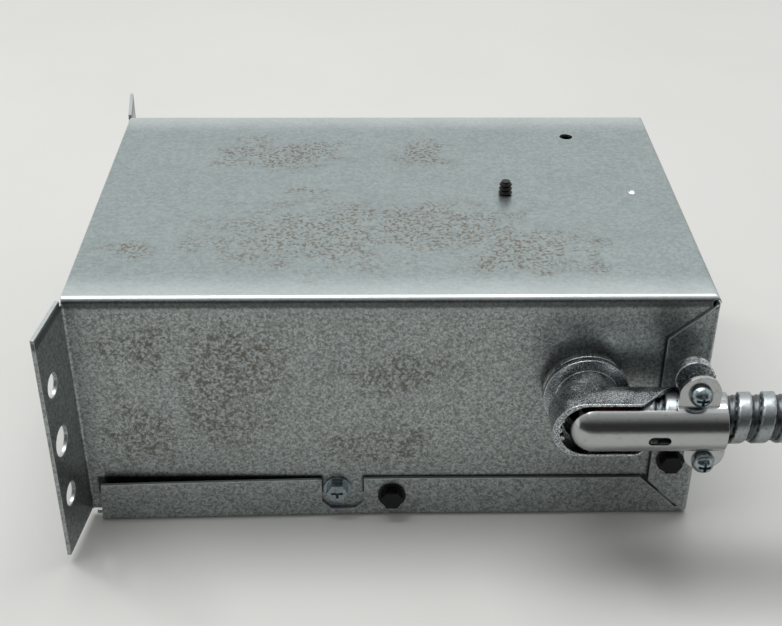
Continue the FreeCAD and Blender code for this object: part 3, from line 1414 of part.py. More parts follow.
def connector_fixings():
    """Clamp screws, the locknut inside the wall and the bushing in the conduit's end."""
    screws = []
    for x, z in LUGS.values():
        seat = (x, out("strap_lug_front"), z)
        dome_rise = "(clamp_head_rise - clamp_head_edge)"
        ball_radius = f"(clamp_head_radius ^ 2 + {dome_rise} ^ 2) / (2 * {dome_rise})"
        centre = (x, out(f"strap_lug_front + clamp_head_rise - {ball_radius}"), z)
        head = common(ball(centre, ball_radius), rod(seat, "-Y", "clamp_head_rise", "clamp_head_radius"))
        top = out("strap_lug_front + clamp_head_rise")
        floor = out("strap_lug_front + clamp_head_rise - clamp_recess_depth")
        half, thin = "recess_span / 2", "recess_slot / 2"
        cross = [
            block((f"{x} - {half}", top, f"{z} - {thin}"), (f"{x} + {half}", floor, f"{z} + {thin}")),
            block((f"{x} - {thin}", top, f"{z} - {half}"), (f"{x} + {thin}", floor, f"{z} + {half}")),
        ]
        shank = rod(seat, "+Y", "clamp_screw_reach", "clamp_screw_shank")
        screws.append(cut(fuse(head, shank), *cross))
    node("clamp_screws", group(*screws))
    node("connector_locknut", locknut((HUB_X, f"{NEAR} + shell_sheet", HUB_Z), "+Y"))
    front = (f"{CONDUIT_START} - bushing_flange", CONDUIT_Y, HUB_Z)
    ring = rod(front, "+X", "bushing_flange", "conduit_radius - conduit_fit")
    hole = rod(front, "+X", "bushing_flange", "bushing_hole")
    node("anti_short_bushing", cut(ring, hole))


def locknut(at, outward):
    """Round nut with driving notches, threaded on a nipple."""
    disc = rod(("0", "0", "0"), "+Z", "locknut_thick", "locknut_radius")
    tools = [rod(("0", "0", "0"), "+Z", "locknut_thick", "nipple_radius")]
    for step in range(LOCKNUT_NOTCHES):
        angle = 360 / LOCKNUT_NOTCHES * step
        x = f"cos({angle}) * locknut_radius"
        y = f"sin({angle}) * locknut_radius"
        tools.append(rod((x, y, "0"), "+Z", "locknut_thick", "locknut_lobe / 2"))
    return place(cut(disc, *tools), at, outward)


# ---------------------------------------------------------------- conduit and wires


BEND_SHARE = 0.45  # of the shorter run beside a corner that its arc takes up


def rounded_path(spots):
    """Straight runs joined by tangent arcs, each as large as its two runs allow."""
    edges, radii, start = [], [], spots[0]
    for before, corner, after in zip(spots, spots[1:], spots[2:]):
        back, ahead = before - corner, after - corner
        half_turn = (math.pi - back.getAngle(ahead)) / 2
        trim = BEND_SHARE * min(back.Length, ahead.Length)
        radii.append(trim / math.tan(half_turn))
        back.normalize()
        ahead.normalize()
        first, last = corner + back * trim, corner + ahead * trim
        middle = back + ahead
        middle.normalize()
        sagitta = radii[-1] * (1 / math.cos(half_turn) - 1)
        edges.append(Part.LineSegment(start, first).toShape())
        edges.append(Part.Arc(first, corner + middle * sagitta, last).toShape())
        start = last
    edges.append(Part.LineSegment(start, spots[-1]).toShape())
    return Part.Wire(edges), radii


def tube(spots, radius, name=None):
    """A round solid along a path; a name prints its arc radii, its length and its volume's error."""
    path, radii = rounded_path(spots)
    along = spots[1] - spots[0]
    circle = Part.Circle(spots[0], along, radius).toShape()
    solid = path.makePipeShell([Part.Wire(circle)], True, True)
    error = solid.Volume / (math.pi * radius**2 * path.Length) - 1
    if abs(error) > 1e-3:
        raise RuntimeError(f"the tube {name} has lost its section")
    if name:
        bends = [round(r, 1) for r in radii]
        print(name, "radii", bends, "length", round(path.Length, 1), "error", round(error, 6))
    return solid


def feature(name, shape):
    """A node whose shape is worked out in code."""
    thing = doc.addObject("Part::Feature", name)
    thing.Shape = shape
    return node(name, thing)


def whip_points():
    return [point(CONDUIT_START, CONDUIT_Y, HUB_Z)] + [FreeCAD.Vector(*spot) for spot in WHIP]


def far_end():
    """Straight connector, its locknut and bushing, on the conduit's far end."""
    spots = whip_points()
    heading = FreeCAD.Rotation(FreeCAD.Vector(0, 0, 1), spots[-1] - spots[-2])
    seat = FreeCAD.Placement(spots[-1], heading)
    origin = ("0", "0", "0")
    body = fuse(
        rod(("0", "0", "-(far_sleeve_length - far_floor)"), "+Z", "far_sleeve_length", "far_sleeve_radius"),
        rod(("0", "0", "far_floor"), "+Z", "far_hub_thick", "far_hub_radius"),
        rod(("0", "0", "far_floor + far_hub_thick"), "+Z", "far_nipple_length", "nipple_radius"),
    )
    socket = rod(origin, "-Z", "far_sleeve_length", "conduit_radius + conduit_fit")
    seat_room = rod(origin, "+Z", "bushing_flange", "conduit_radius")
    far_face = "far_floor + far_hub_thick + far_nipple_length"
    through = rod(origin, "+Z", far_face, "far_throat_radius")
    ring = rod(origin, "+Z", "bushing_flange", "conduit_radius - conduit_fit")
    parts = {
        "far_connector": cut(body, socket, seat_room, through),
        "far_bushing": cut(ring, rod(origin, "+Z", "bushing_flange", "bushing_hole")),
        "far_locknut": locknut(("0", "0", "far_floor + far_hub_thick + far_nut_gap"), "+Z"),
    }
    for name, part in parts.items():
        carrier = group(part)
        carrier.Placement = seat
        node(name, carrier)


def conduit():
    feature("flexible_conduit", tube(whip_points(), value("conduit_radius"), "flexible_conduit"))


def elbow_start(across, up):
    """The first points of a conductor: out of the conduit, round the elbow and through the throat."""
    y = f"{CONDUIT_Y} + ({across}) * wire_spread"
    x = f"{HUB_X} + ({across}) * wire_spread"
    z = f"{HUB_Z} + ({up}) * wire_spread"
    inside = f"{NEAR} + nipple_length + wire_run_in"
    return [point(CONDUIT_START, y, z), point(x, y, z), point(x, inside, z)]


def clamp_back(stage, sign):
    """Centre of the rear face of a contact clamp, where a conductor enters it."""
    side = STAGES[stage]["side"]
    x = f"{STAGES[stage]['front']} + stage_floor + (stage_thick - stage_floor) / 2 + clamp_width / 2"
    return point(x, f"{sign}(stage_side / 2 + clamp_depth / 2)", f"{MIDDLE} {side} contact_offset")


def jumper_end(stage, inward):
    """Where the jumper meets a contact clamp, on the side that faces the other stage's."""
    side = STAGES[stage]["side"]
    x = f"{STAGES[stage]['front']} + stage_floor + (stage_thick - stage_floor) / 2"
    z = f"{MIDDLE} {side} contact_offset {inward} clamp_rise / 2"
    return point(x, "stage_side / 2 + clamp_depth / 2", z)


def pole_end(pole, step, radius="wire_radius"):
    """Where a conductor meets the underside of a terminal strip, near its end."""
    x = f"{BLOCK_X} {step} (pole_strip / 2 - {radius} - wire_end_gap)"
    return point(x, pole_side(pole), STRIP_FOOT)


def beyond(spot, x=0, y=0, z=0):
    return spot + FreeCAD.Vector(x, y, z)


def hookup_wires():
    """The conductors inside the box, each whole along its route."""
    radius = value("wire_radius")
    line, load = clamp_back("line", "-"), clamp_back("line", "+")
    generator_in, generator_out = clamp_back("generator", "-"), clamp_back("generator", "+")
    neutral, feed = pole_end("neutral", "+"), pole_end("feed", "-")
    ground = point(RIVET_X, "rivet_side - bar_screw_offset / 2", f"{CEILING} - bar_rise")
    tab_end = f"{PANEL_BACK} + breaker_depth + tab_length"
    tab_high = point(tab_end, BREAKER_Y, f"{MIDDLE} + tab_spread")
    tab_low = point(tab_end, BREAKER_Y, f"{MIDDLE} - tab_spread")
    load_link = [jumper_end("line", "-"), jumper_end("generator", "+")]
    routes = {
        "line_wire": elbow_start(-1, 1) + [beyond(line, 70, -14, 4), beyond(line, 30, 0, 0), line],
        "load_wire": elbow_start(1, 1)
        + [beyond(load, 118, -38, -1), beyond(load, 72, -12, 0), beyond(load, 34, 0, 0), load],
        "neutral_wire": elbow_start(-1, -1)
        + [beyond(neutral, 3, -12, -17), beyond(neutral, 0, 0, -9), neutral],
        "ground_wire": elbow_start(1, -1)
        + [beyond(ground, -4, -14, -22), beyond(ground, 0, 0, -12), ground],
        "feed_wire": [feed, beyond(feed, 0, 0, -12), beyond(tab_high, 44, 10, -6),
                      beyond(tab_high, 16, 0, 0), tab_high],
        "breaker_wire": [tab_low, beyond(tab_low, 12, 0, 0), beyond(tab_low, 20, 10, 0),
                         beyond(generator_in, 16, 0, 0), generator_in],
        "load_jumper": [load_link[0], beyond(load_link[0], 0, 0, -3.4),
                        beyond(load_link[1], 0, 0, 3.4), load_link[1]],
    }
    for name, spots in routes.items():
        feature(name, tube(spots, radius, name))
    lamp_leads(generator_out)


LEAD_BOW = 34  # how far the lamp leads bow out past the wire clamps
LEAD_DROP = 14  # their straight run below the pole


def lamp_leads(clear_of):
    """Thin leads from the two lamps to the upper poles of the block."""
    thin = value("lead_radius")
    for name, step in (("utility", "+"), ("generator", "-")):
        leads = []
        for sign, end in (("-", "-"), ("+", "+")):
            rear = f"{PANEL_BACK} + lamp_depth"
            start = point(rear, f"{LAMP_Y} {sign} lead_spread", f"{MIDDLE} {step} lamp_spread")
            foot = pole_end(name, end, "lead_radius")
            away = beyond(start, clear_of.x - start.x + LEAD_BOW, 0, 0)
            below = beyond(foot, 0, 0, -LEAD_DROP)
            leads.append(tube([start, away, below, foot], thin))
        feature(f"{name}_lamp_leads", Part.Compound(leads))


# ---------------------------------------------------------------- the assembly


def check():
    """Stop on a failed object, or on a node whose shape is missing or broken."""
    doc.recompute()
    for thing in doc.Objects:
        if {"Invalid", "Error"} & set(thing.State):
            raise RuntimeError(f"{thing.Label} ({thing.Name}) failed: {thing.State}")
    for thing in nodes:
        if thing.Shape.isNull() or not thing.Shape.isValid() or not thing.Shape.Solids:
            raise RuntimeError(f"{thing.Label} has no valid solid")


def write():
    os.makedirs("parts", exist_ok=True)
    for thing in nodes:
        thing.Shape.exportStep(f"parts/{thing.Label}.step")
        box = thing.Shape.BoundBox
        print(f"{thing.Label}: {len(thing.Shape.Solids)} solids, {thing.Shape.Volume:.0f} mm3,", box)


def main():
    fill_sheet()
    back_shell()
    wiring_cover()
    operator_plate()
    tie_strap()
    sheet_screws()
    block_screw()
    ground_rivet()
    terminal_block()
    ground_bar()
    dial_plate()
    knob()
    knob_screw()
    switch_shaft()
    index_unit()
    contact_stages()
    switch_fixings()
    breaker()
    pilot_lamps()
    connector_body()
    connector_strap()
    connector_fixings()
    conduit()
    far_end()
    hookup_wires()
    check()
    write()


main()
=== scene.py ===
import json
import math

import bmesh
import bpy
import numpy as np
from bpy.props import FloatProperty, FloatVectorProperty, PointerProperty
from mathutils import Matrix, Vector


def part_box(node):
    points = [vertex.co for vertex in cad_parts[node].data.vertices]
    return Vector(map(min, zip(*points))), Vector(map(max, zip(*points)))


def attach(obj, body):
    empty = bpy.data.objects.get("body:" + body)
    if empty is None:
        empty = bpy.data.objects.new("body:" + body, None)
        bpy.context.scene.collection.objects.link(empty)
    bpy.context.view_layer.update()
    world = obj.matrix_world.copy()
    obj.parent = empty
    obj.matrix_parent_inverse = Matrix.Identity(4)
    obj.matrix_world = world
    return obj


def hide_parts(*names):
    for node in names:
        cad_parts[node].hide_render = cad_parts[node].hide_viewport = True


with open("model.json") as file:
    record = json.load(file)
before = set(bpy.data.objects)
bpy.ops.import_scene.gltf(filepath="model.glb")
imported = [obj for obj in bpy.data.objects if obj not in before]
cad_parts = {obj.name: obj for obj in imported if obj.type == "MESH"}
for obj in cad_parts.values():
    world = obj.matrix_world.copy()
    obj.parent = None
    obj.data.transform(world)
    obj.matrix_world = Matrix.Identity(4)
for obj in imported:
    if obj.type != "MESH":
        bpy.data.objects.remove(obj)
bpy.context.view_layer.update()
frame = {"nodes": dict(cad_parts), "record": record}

bl_info = {
    "name": "Manual transfer switch",
    "version": (1, 0, 0),
    "blender": (4, 5, 0),
    "location": "View3D > Sidebar > Switch",
    "description": "Dresses the folded box, its connector and its conduit whip",
    "category": "Object",
}

NODES = frame["nodes"]
SLOT_OF = {part["node"]: part["material_slot"] for part in frame["record"]["subparts"]}
ROOT = "enclosure"
MM = 0.001

# Places read from the frame, in metres.
COVER_LOW, COVER_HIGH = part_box("wiring_cover")
KNOB_LOW, KNOB_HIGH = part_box("knob")
DIAL_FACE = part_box("dial_plate")[0].x
# The walls' outer faces lie inside the cover's flanges by the cover's sheet.
COVER_SHEET = 1.2 * MM
SHELL_NEAR = COVER_LOW.y + COVER_SHEET

# The whip's route, in metres: the conduit's end in the connector, then the listed points.
WHIP = [
    (0.0735, -0.0873, 0.0545),
    (0.1250, -0.0873, 0.0548),
    (0.1680, -0.0873, 0.0570),
    (0.2418, -0.0816, 0.0245),
    (0.2956, -0.0599, 0.00815),
    (0.3291, -0.0138, 0.00815),
    (0.3301, 0.0432, 0.00815),
    (0.2982, 0.0905, 0.00815),
    (0.2485, 0.1116, 0.01405),
]
WHIP_RADIUS = 8 * MM


# ---------------------------------------------------------------- colours and nodes


def linear(code):
    """An sRGB hex code as linear red, green, blue and a full alpha."""
    parts = [int(code[i:i + 2], 16) / 255 for i in (1, 3, 5)]
    return tuple(c / 12.92 if c <= 0.04045 else ((c + 0.055) / 1.055) ** 2.4 for c in parts) + (1.0,)


def add(tree, kind, inputs, out=0, **settings):
    """Add a shader node, set or link its inputs, and return one of its outputs."""
    made = tree.nodes.new("ShaderNode" + kind)
    for name, setting in settings.items():
        setattr(made, name, setting)
    for key, given in inputs.items():
        if isinstance(given, bpy.types.NodeSocket):
            tree.links.new(given, made.inputs[key])
        else:
            made.inputs[key].default_value = given
    return made.outputs[out]


def new_material(name, metallic, roughness):
    """A new material, its tree, its Principled shader and the object coordinates.

    Its metallic and roughness hold wherever nothing is linked to them.
    """
    material = bpy.data.materials.new(name)
    material.use_nodes = True
    tree = material.node_tree
    shader = next(n for n in tree.nodes if n.type == "BSDF_PRINCIPLED")
    shader.inputs["Metallic"].default_value = metallic
    shader.inputs["Roughness"].default_value = roughness
    return material, tree, shader, add(tree, "TexCoord", {}, "Object")


def feed(tree, shader, **sockets):
    """Link sockets to the shader's inputs, named with underscores for spaces."""
    for name, socket in sockets.items():
        tree.links.new(socket, shader.inputs[name.replace("_", " ")])


def per_mm(size):
    """The texture scale that gives a pattern of about this size in mm."""
    return 1 / (size * MM)


# Settings that many nodes share.
SMOOTH = {"interpolation_type": "SMOOTHSTEP"}
COLOURS = {"out": 2, "data_type": "RGBA"}
PRODUCT = {"operation": "MULTIPLY"}


def worn_edges(tree, radius_mm):
    """Normals rounded over each edge, and a mask that is one along the edges."""
    rounded = add(tree, "Bevel", {"Radius": radius_mm * MM}, samples=6)
    facing = add(tree, "NewGeometry", {}, "Normal")
    likeness = add(tree, "VectorMath", {0: rounded, 1: facing}, "Value", operation="DOT_PRODUCT")
    return rounded, add(tree, "MapRange", {0: likeness, 1: 0.995, 2: 0.90, 3: 0.0, 4: 1.0}, **SMOOTH)


# ---------------------------------------------------------------- finishes

# Slot: name, colour, darker colour, metallic, roughness, grain in mm, relief in mm.
FINISHES = {
    # bright bluish zinc on turned and headed steel
    "zinc_plated_steel": ("Bright zinc plated steel", "#a2adb2", "#6b7579", 1.0, 0.20, 0.5, 0.03),
    # nearly black, with an oily sheen on the edges
    "black_oxide_steel": ("Black oxide steel, oiled", "#0d0d0f", "#060607", 0.5, 0.30, 0.7, 0.02),
    # rubbed bright on one face and dull below
    "aluminium_rivet": ("Bright aluminium", "#a9adae", "#85898b", 1.0, 0.30, 0.5, 0.01),
    "contact_brass": ("Rolled brass", "#b99a55", "#93763c", 1.0, 0.28, 1.0, 0.01),
    "ground_aluminium": ("Extruded aluminium", "#b4b8ba", "#989c9e", 1.0, 0.34, 0.8, 0.02),
    # deep black moulding powder, dull
    "black_phenolic": ("Moulded phenolic", "#1b1a19", "#100f0f", 0.0, 0.50, 1.2, 0.02),
    # satin black with a slight moulded texture
    "knob_plastic": ("Moulded ABS, satin black", "#18191a", "#0e0f10", 0.0, 0.34, 0.4, 0.02),
    "natural_nylon": ("Moulded nylon, natural", "#dcd7c6", "#c9c2ae", 0.0, 0.45, 1.5, 0.02),
    "spring_steel": ("Blued spring steel", "#8b8f97", "#6d7178", 1.0, 0.28, 0.8, 0.01),
    "red_button": ("Moulded ABS, red", "#a81c14", "#8c130e", 0.0, 0.30, 0.8, 0.01),
    "green_lens": ("Moulded polycarbonate, green", "#1f8a43", "#176e35", 0.0, 0.14, 2.0, 0.02),
    "amber_lens": ("Moulded polycarbonate, amber", "#d98a1c", "#bd7312", 0.0, 0.14, 2.0, 0.02),
    "lamp_body": ("Moulded nylon, dark grey", "#2a2b2d", "#1e1f20", 0.0, 0.48, 1.2, 0.02),
    "bushing_plastic": ("Moulded polyethylene, red", "#4a1612", "#36100c", 0.0, 0.42, 1.2, 0.02),
    "wire_black": ("Extruded PVC, black", "#1a1a1b", "#111112", 0.0, 0.38, 1.5, 0.01),
    "wire_red": ("Extruded PVC, red", "#8f1a17", "#771411", 0.0, 0.38, 1.5, 0.01),
    "wire_white": ("Extruded PVC, white", "#dcdcd8", "#c8c8c3", 0.0, 0.38, 1.5, 0.01),
    "wire_green": ("Extruded PVC, green", "#1f6b35", "#185528", 0.0, 0.38, 1.5, 0.01),
    "wire_blue": ("Extruded PVC, blue", "#1d3b7a", "#162d5f", 0.0, 0.38, 1.5, 0.01),
    # drawn on the dial only
    "printed_ink": ("Screen-printed ink, black", "#17181a", "#0f1011", 0.0, 0.55, 0.3, 0.005),
}


PLAIN_PATCH = 9  # mm across the patches over which the grain comes and goes
PLAIN_EDGE = 0.15 * MM
LENS_CLEARNESS, LENS_IOR = 0.35, 1.58  # polycarbonate with a diffusing face


def plain_finish(name, light, dark, metallic, roughness, grain, relief):
    """One of the finishes above: its two colours drift with the grain, as do the gloss and relief."""
    material, tree, shader, where = new_material(name, metallic, roughness)
    fine = add(tree, "TexNoise", {"Vector": where, "Scale": per_mm(grain), "Detail": 3.0})
    broad = add(tree, "TexNoise", {"Vector": where, "Scale": per_mm(PLAIN_PATCH), "Detail": 2.0})
    drift = add(tree, "MapRange", {0: fine, 1: 0.35, 2: 0.7}, **SMOOTH)
    patch = add(tree, "MapRange", {0: broad, 1: 0.3, 2: 0.7, 3: 0.4, 4: 1.0}, **SMOOTH)
    drift = add(tree, "Math", {0: drift, 1: patch}, **PRODUCT)
    colour = add(tree, "Mix", {0: drift, 6: linear(light), 7: linear(dark)}, **COLOURS)
    gloss = {0: broad, 1: 0.3, 2: 0.7, 3: roughness * 0.85, 4: roughness * 1.2}
    rounded = add(tree, "Bevel", {"Radius": PLAIN_EDGE}, samples=4)
    grained = {"Height": fine, "Distance": relief * MM, "Strength": 0.5, "Normal": rounded}
    feed(
        tree, shader, Base_Color=colour, Roughness=add(tree, "MapRange", gloss, **SMOOTH),
        Normal=add(tree, "Bump", grained),
    )
    if "polycarbonate" in name:
        shader.inputs["Transmission Weight"].default_value = LENS_CLEARNESS
        shader.inputs["IOR"].default_value = LENS_IOR
    return material


# Where the storage stain lies, in mm: on the top panel as x, y and two half-widths, on the walls as x, z.
TOP_STAINS = (
    (-41, 34, 25, 15), (12, 35, 12, 13), (-26, -28, 46, 24), (14, -24, 36, 22), (45, -40, 30, 18),
    (-84, -38, 12, 8), (-32, 4, 10, 4),
)
WALL_STAINS = (
    (-77, 68, 16, 12), (-52, 62, 24, 18), (-51, 42, 20, 16), (-82, 34, 14, 14), (2, 58, 22, 10),
    (-2, 30, 24, 9),
)


def blotches(tree, where, ragged, spots, on_wall):
    """One inside the blotches and nought outside, with ragged borders."""
    mask = 0.0
    for across, up, half, rise in spots:
        if on_wall:
            turned = {"Location": (-across / half, 0, -up / rise), "Scale": (per_mm(half), 0, per_mm(rise))}
        else:
            turned = {"Location": (-across / half, -up / rise, 0), "Scale": (per_mm(half), per_mm(rise), 0)}
        local = add(tree, "Mapping", {"Vector": where, **turned})
        away = add(tree, "VectorMath", {0: local}, "Value", operation="LENGTH")
        away = add(tree, "Math", {0: away, 1: ragged}, operation="SUBTRACT")
        inside = add(tree, "MapRange", {0: away, 1: 1.1, 2: 0.4}, **SMOOTH)
        mask = add(tree, "Math", {0: inside, 1: mask}, operation="MAXIMUM")
    return mask


# How the seam's painted shade lies: its spread outside the flange's outline and the rim where it is full, its
# depth in under the flange, and the widths over which it fades there and beside the notch.
SEAM_SHADE_SPREAD = 1.4 * MM
SEAM_SHADE_RIM = 0.2 * MM
SEAM_SHADE_DEPTH = 6.0 * MM
SEAM_SHADE_FADE = 1.0 * MM
NOTCH_FADE = 1.2 * MM
SEAM_SHADE_MOST = 0.9


def flange_depth(tree, place, settings):
    """Depth inside the flange's outline = max(rise - z, min(x - strip edge, slanted top - z))."""
    strip_edge = COVER_HIGH.x - settings.strip_width
    slope = (COVER_HIGH.z - settings.strip_rise) / settings.strip_width
    past = add(tree, "Math", {0: place["X"], 1: strip_edge}, operation="SUBTRACT")
    top = add(tree, "Math", {0: past, 1: slope, 2: settings.strip_rise}, operation="MULTIPLY_ADD")
    under = add(tree, "Math", {0: top, 1: place["Z"]}, operation="SUBTRACT")
    strip = add(tree, "Math", {0: past, 1: under}, operation="MINIMUM")
    flange = add(tree, "Math", {0: settings.flange_rise, 1: place["Z"]}, operation="SUBTRACT")
    return add(tree, "Math", {0: flange, 1: strip}, operation="MAXIMUM")


def paint_seam_shade(tree, place, settings):
    """Painted shade along the outline of the cover's flange, where the flange meets the wall and the gap
    between them lies in shadow.

    It keeps clear of the notch for the bonding screw, and lies only on the walls' outer faces, from
    the flange's free end on.
    """
    # painted shade: darkest along the flange's outline, fading in under the flange
    depth = flange_depth(tree, place, settings)
    outside = {0: depth, 1: -SEAM_SHADE_SPREAD, 2: -SEAM_SHADE_RIM, 3: 0.0, 4: SEAM_SHADE_MOST}
    inside = {0: depth, 1: SEAM_SHADE_DEPTH, 2: SEAM_SHADE_DEPTH + SEAM_SHADE_FADE, 3: 1.0, 4: 0.0}
    away = add(tree, "Math", {0: place["X"], 1: settings.notch_place}, operation="SUBTRACT")
    away = add(tree, "Math", {0: away}, operation="ABSOLUTE")
    half = settings.notch_width / 2
    clear = {0: away, 1: half - NOTCH_FADE, 2: half, 3: 0.0, 4: 1.0}
    start = COVER_LOW.x + settings.flange_start
    begun = {0: place["X"], 1: start - SEAM_SHADE_SPREAD, 2: start, 3: 0.0, 4: 1.0}
    faces = add(tree, "SeparateXYZ", {0: add(tree, "NewGeometry", {}, "True Normal")}, "Y")
    side = add(tree, "Math", {0: place["Y"]}, operation="SIGN")
    outward = add(tree, "Math", {0: faces, 1: side}, **PRODUCT)
    on_wall = add(tree, "Math", {0: outward, 1: 0.99}, operation="GREATER_THAN")
    seam_shade, *shares = [add(tree, "MapRange", ramp, **SMOOTH) for ramp in (outside, inside, clear, begun)]
    for share in (*shares, on_wall):
        seam_shade = add(tree, "Math", {0: seam_shade, 1: share}, **PRODUCT)
    return seam_shade


# The sheet's patterns, in mm: spangle crystals, rolling streaks, the walls' etch, stain flecks, the
# ragged borders of the blotches and the broad dulling.
CRYSTAL, STREAK, ETCH, FLECK, RAGGED, CLOUD = 1.0, 0.8, 0.95, 1.15, 9, 18
STREAK_STRETCH = 0.14  # the streaks run along X
# How far from the box's middle the top carries a painted highlight towards its folds: first and full place,
# and how much.
FOLD_HIGHLIGHT_FROM, FOLD_HIGHLIGHT_TO, FOLD_HIGHLIGHT_MOST = 52 * MM, 67 * MM, 0.4
ETCH_MOST = 0.6
# The etch's tones, each with the noise values at which it begins and is full.
ETCH_TONES = ((0.50, 0.62, "#c3c9c8"), (0.50, 0.38, "#5b605f"))
# Lines on the walls: a painted dark reflection under the fold and a faint bright press line below it. Each
# has its height and half-width in mm, its tone and its strength.
FOLD_REFLECTION_AND_PRESS_LINES = ((84.6, 1.3, "#3c4041", 0.8), (82.4, 0.6, "#9aa09f", 0.35))
SKIN_METALLIC, EDGE_METALLIC = 0.88, 0.4  # the rubbed edges scatter more light than the skin


def rolled_skin(tree, where, place, settings):
    """The clean top's colour, and the noise of its rolling streaks."""
    # crystals, each a slightly different grey
    crystal = add(tree, "TexVoronoi", {"Vector": where, "Scale": per_mm(CRYSTAL)}, "Color")
    tint = add(tree, "MapRange", {0: add(tree, "SeparateColor", {0: crystal}), 3: 0.0, 4: 0.9})
    colour = add(tree, "Mix", {0: tint, 6: tuple(settings.sheet), 7: tuple(settings.spangle)}, **COLOURS)
    # long faint streaks
    rolled = add(tree, "Mapping", {"Vector": where, "Scale": (STREAK_STRETCH, 1.0, 1.0)})
    streak = add(tree, "TexNoise", {"Vector": rolled, "Scale": per_mm(STREAK), "Detail": 3.0})
    streaks = add(tree, "MapRange", {0: streak, 1: 0.45, 2: 0.72, 3: 0.0, 4: 0.15}, **SMOOTH)
    colour = add(tree, "Mix", {0: streaks, 6: colour, 7: linear("#666d6c")}, **COLOURS)
    # painted highlight: the skin is brighter towards the folds
    aside = add(tree, "Math", {0: place["Y"]}, operation="ABSOLUTE")
    fold_highlight = {0: aside, 1: FOLD_HIGHLIGHT_FROM, 2: FOLD_HIGHLIGHT_TO, 3: 0.0, 4: FOLD_HIGHLIGHT_MOST}
    fold_highlight = add(tree, "MapRange", fold_highlight, **SMOOTH)
    return add(tree, "Mix", {0: fold_highlight, 6: colour, 7: linear("#e3e8e8")}, **COLOURS), streak


def etched_walls(tree, where, upward, colour, settings):
    """The walls are duller than the top, with a fine pale worm-like etch."""
    colour = add(tree, "Mix", {0: upward, 6: tuple(settings.wall), 7: colour}, **COLOURS)
    worm = add(tree, "TexNoise", {"Vector": where, "Scale": per_mm(ETCH), "Detail": 3.0, "Distortion": 1.0})
    for begun, full, tone in ETCH_TONES:
        share = add(tree, "MapRange", {0: worm, 1: begun, 2: full, 3: 0.0, 4: ETCH_MOST}, **SMOOTH)
        share = add(tree, "Mix", {0: upward, 2: share, 3: 0.0}, data_type="FLOAT")
        colour = add(tree, "Mix", {0: share, 6: colour, 7: linear(tone)}, **COLOURS)
    return colour


def storage_stain(tree, where, upward, stain_share):
    """The stain's share, flecks gated by blotches, and the noise of its flecks."""
    fleck = add(tree, "TexNoise", {"Vector": where, "Scale": per_mm(FLECK), "Detail": 5.0, "Roughness": 0.64})
    ragged = {"Vector": where, "Scale": per_mm(RAGGED), "Detail": 4.0, "Roughness": 0.65}
    ragged = add(tree, "MapRange", {0: add(tree, "TexNoise", ragged), 1: 0.3, 2: 0.7, 3: -0.5, 4: 0.5})
    above = blotches(tree, where, ragged, TOP_STAINS, False)
    aside = blotches(tree, where, ragged, WALL_STAINS, True)
    aside = add(tree, "MapRange", {0: aside, 3: 0.25, 4: 0.85})
    zone = add(tree, "Mix", {0: upward, 2: aside, 3: above}, data_type="FLOAT")
    spots = add(tree, "MapRange", {0: fleck, 1: 0.465, 2: 0.60}, **SMOOTH)
    share = add(tree, "Math", {0: spots, 1: zone}, **PRODUCT)
    return add(tree, "Math", {0: share, 1: stain_share}, **PRODUCT), fleck


def paint_fold_reflection_and_press_lines(tree, place, upward, colour):
    """The colour with a painted dark reflection under the fold and the line that pressing left on the walls.
    """
    for middle, half, tone, most in FOLD_REFLECTION_AND_PRESS_LINES:
        off = add(tree, "Math", {0: place["Z"], 1: middle * MM}, operation="SUBTRACT")
        off = add(tree, "Math", {0: off}, operation="ABSOLUTE")
        near = {0: off, 1: half * 1.5 * MM, 2: half * 0.5 * MM, 3: 0.0, 4: most}
        near = add(tree, "MapRange", near, **SMOOTH)
        line = add(tree, "Mix", {0: upward, 2: near, 3: 0.0}, data_type="FLOAT")
        colour = add(tree, "Mix", {0: line, 6: colour, 7: linear(tone)}, **COLOURS)
    return colour


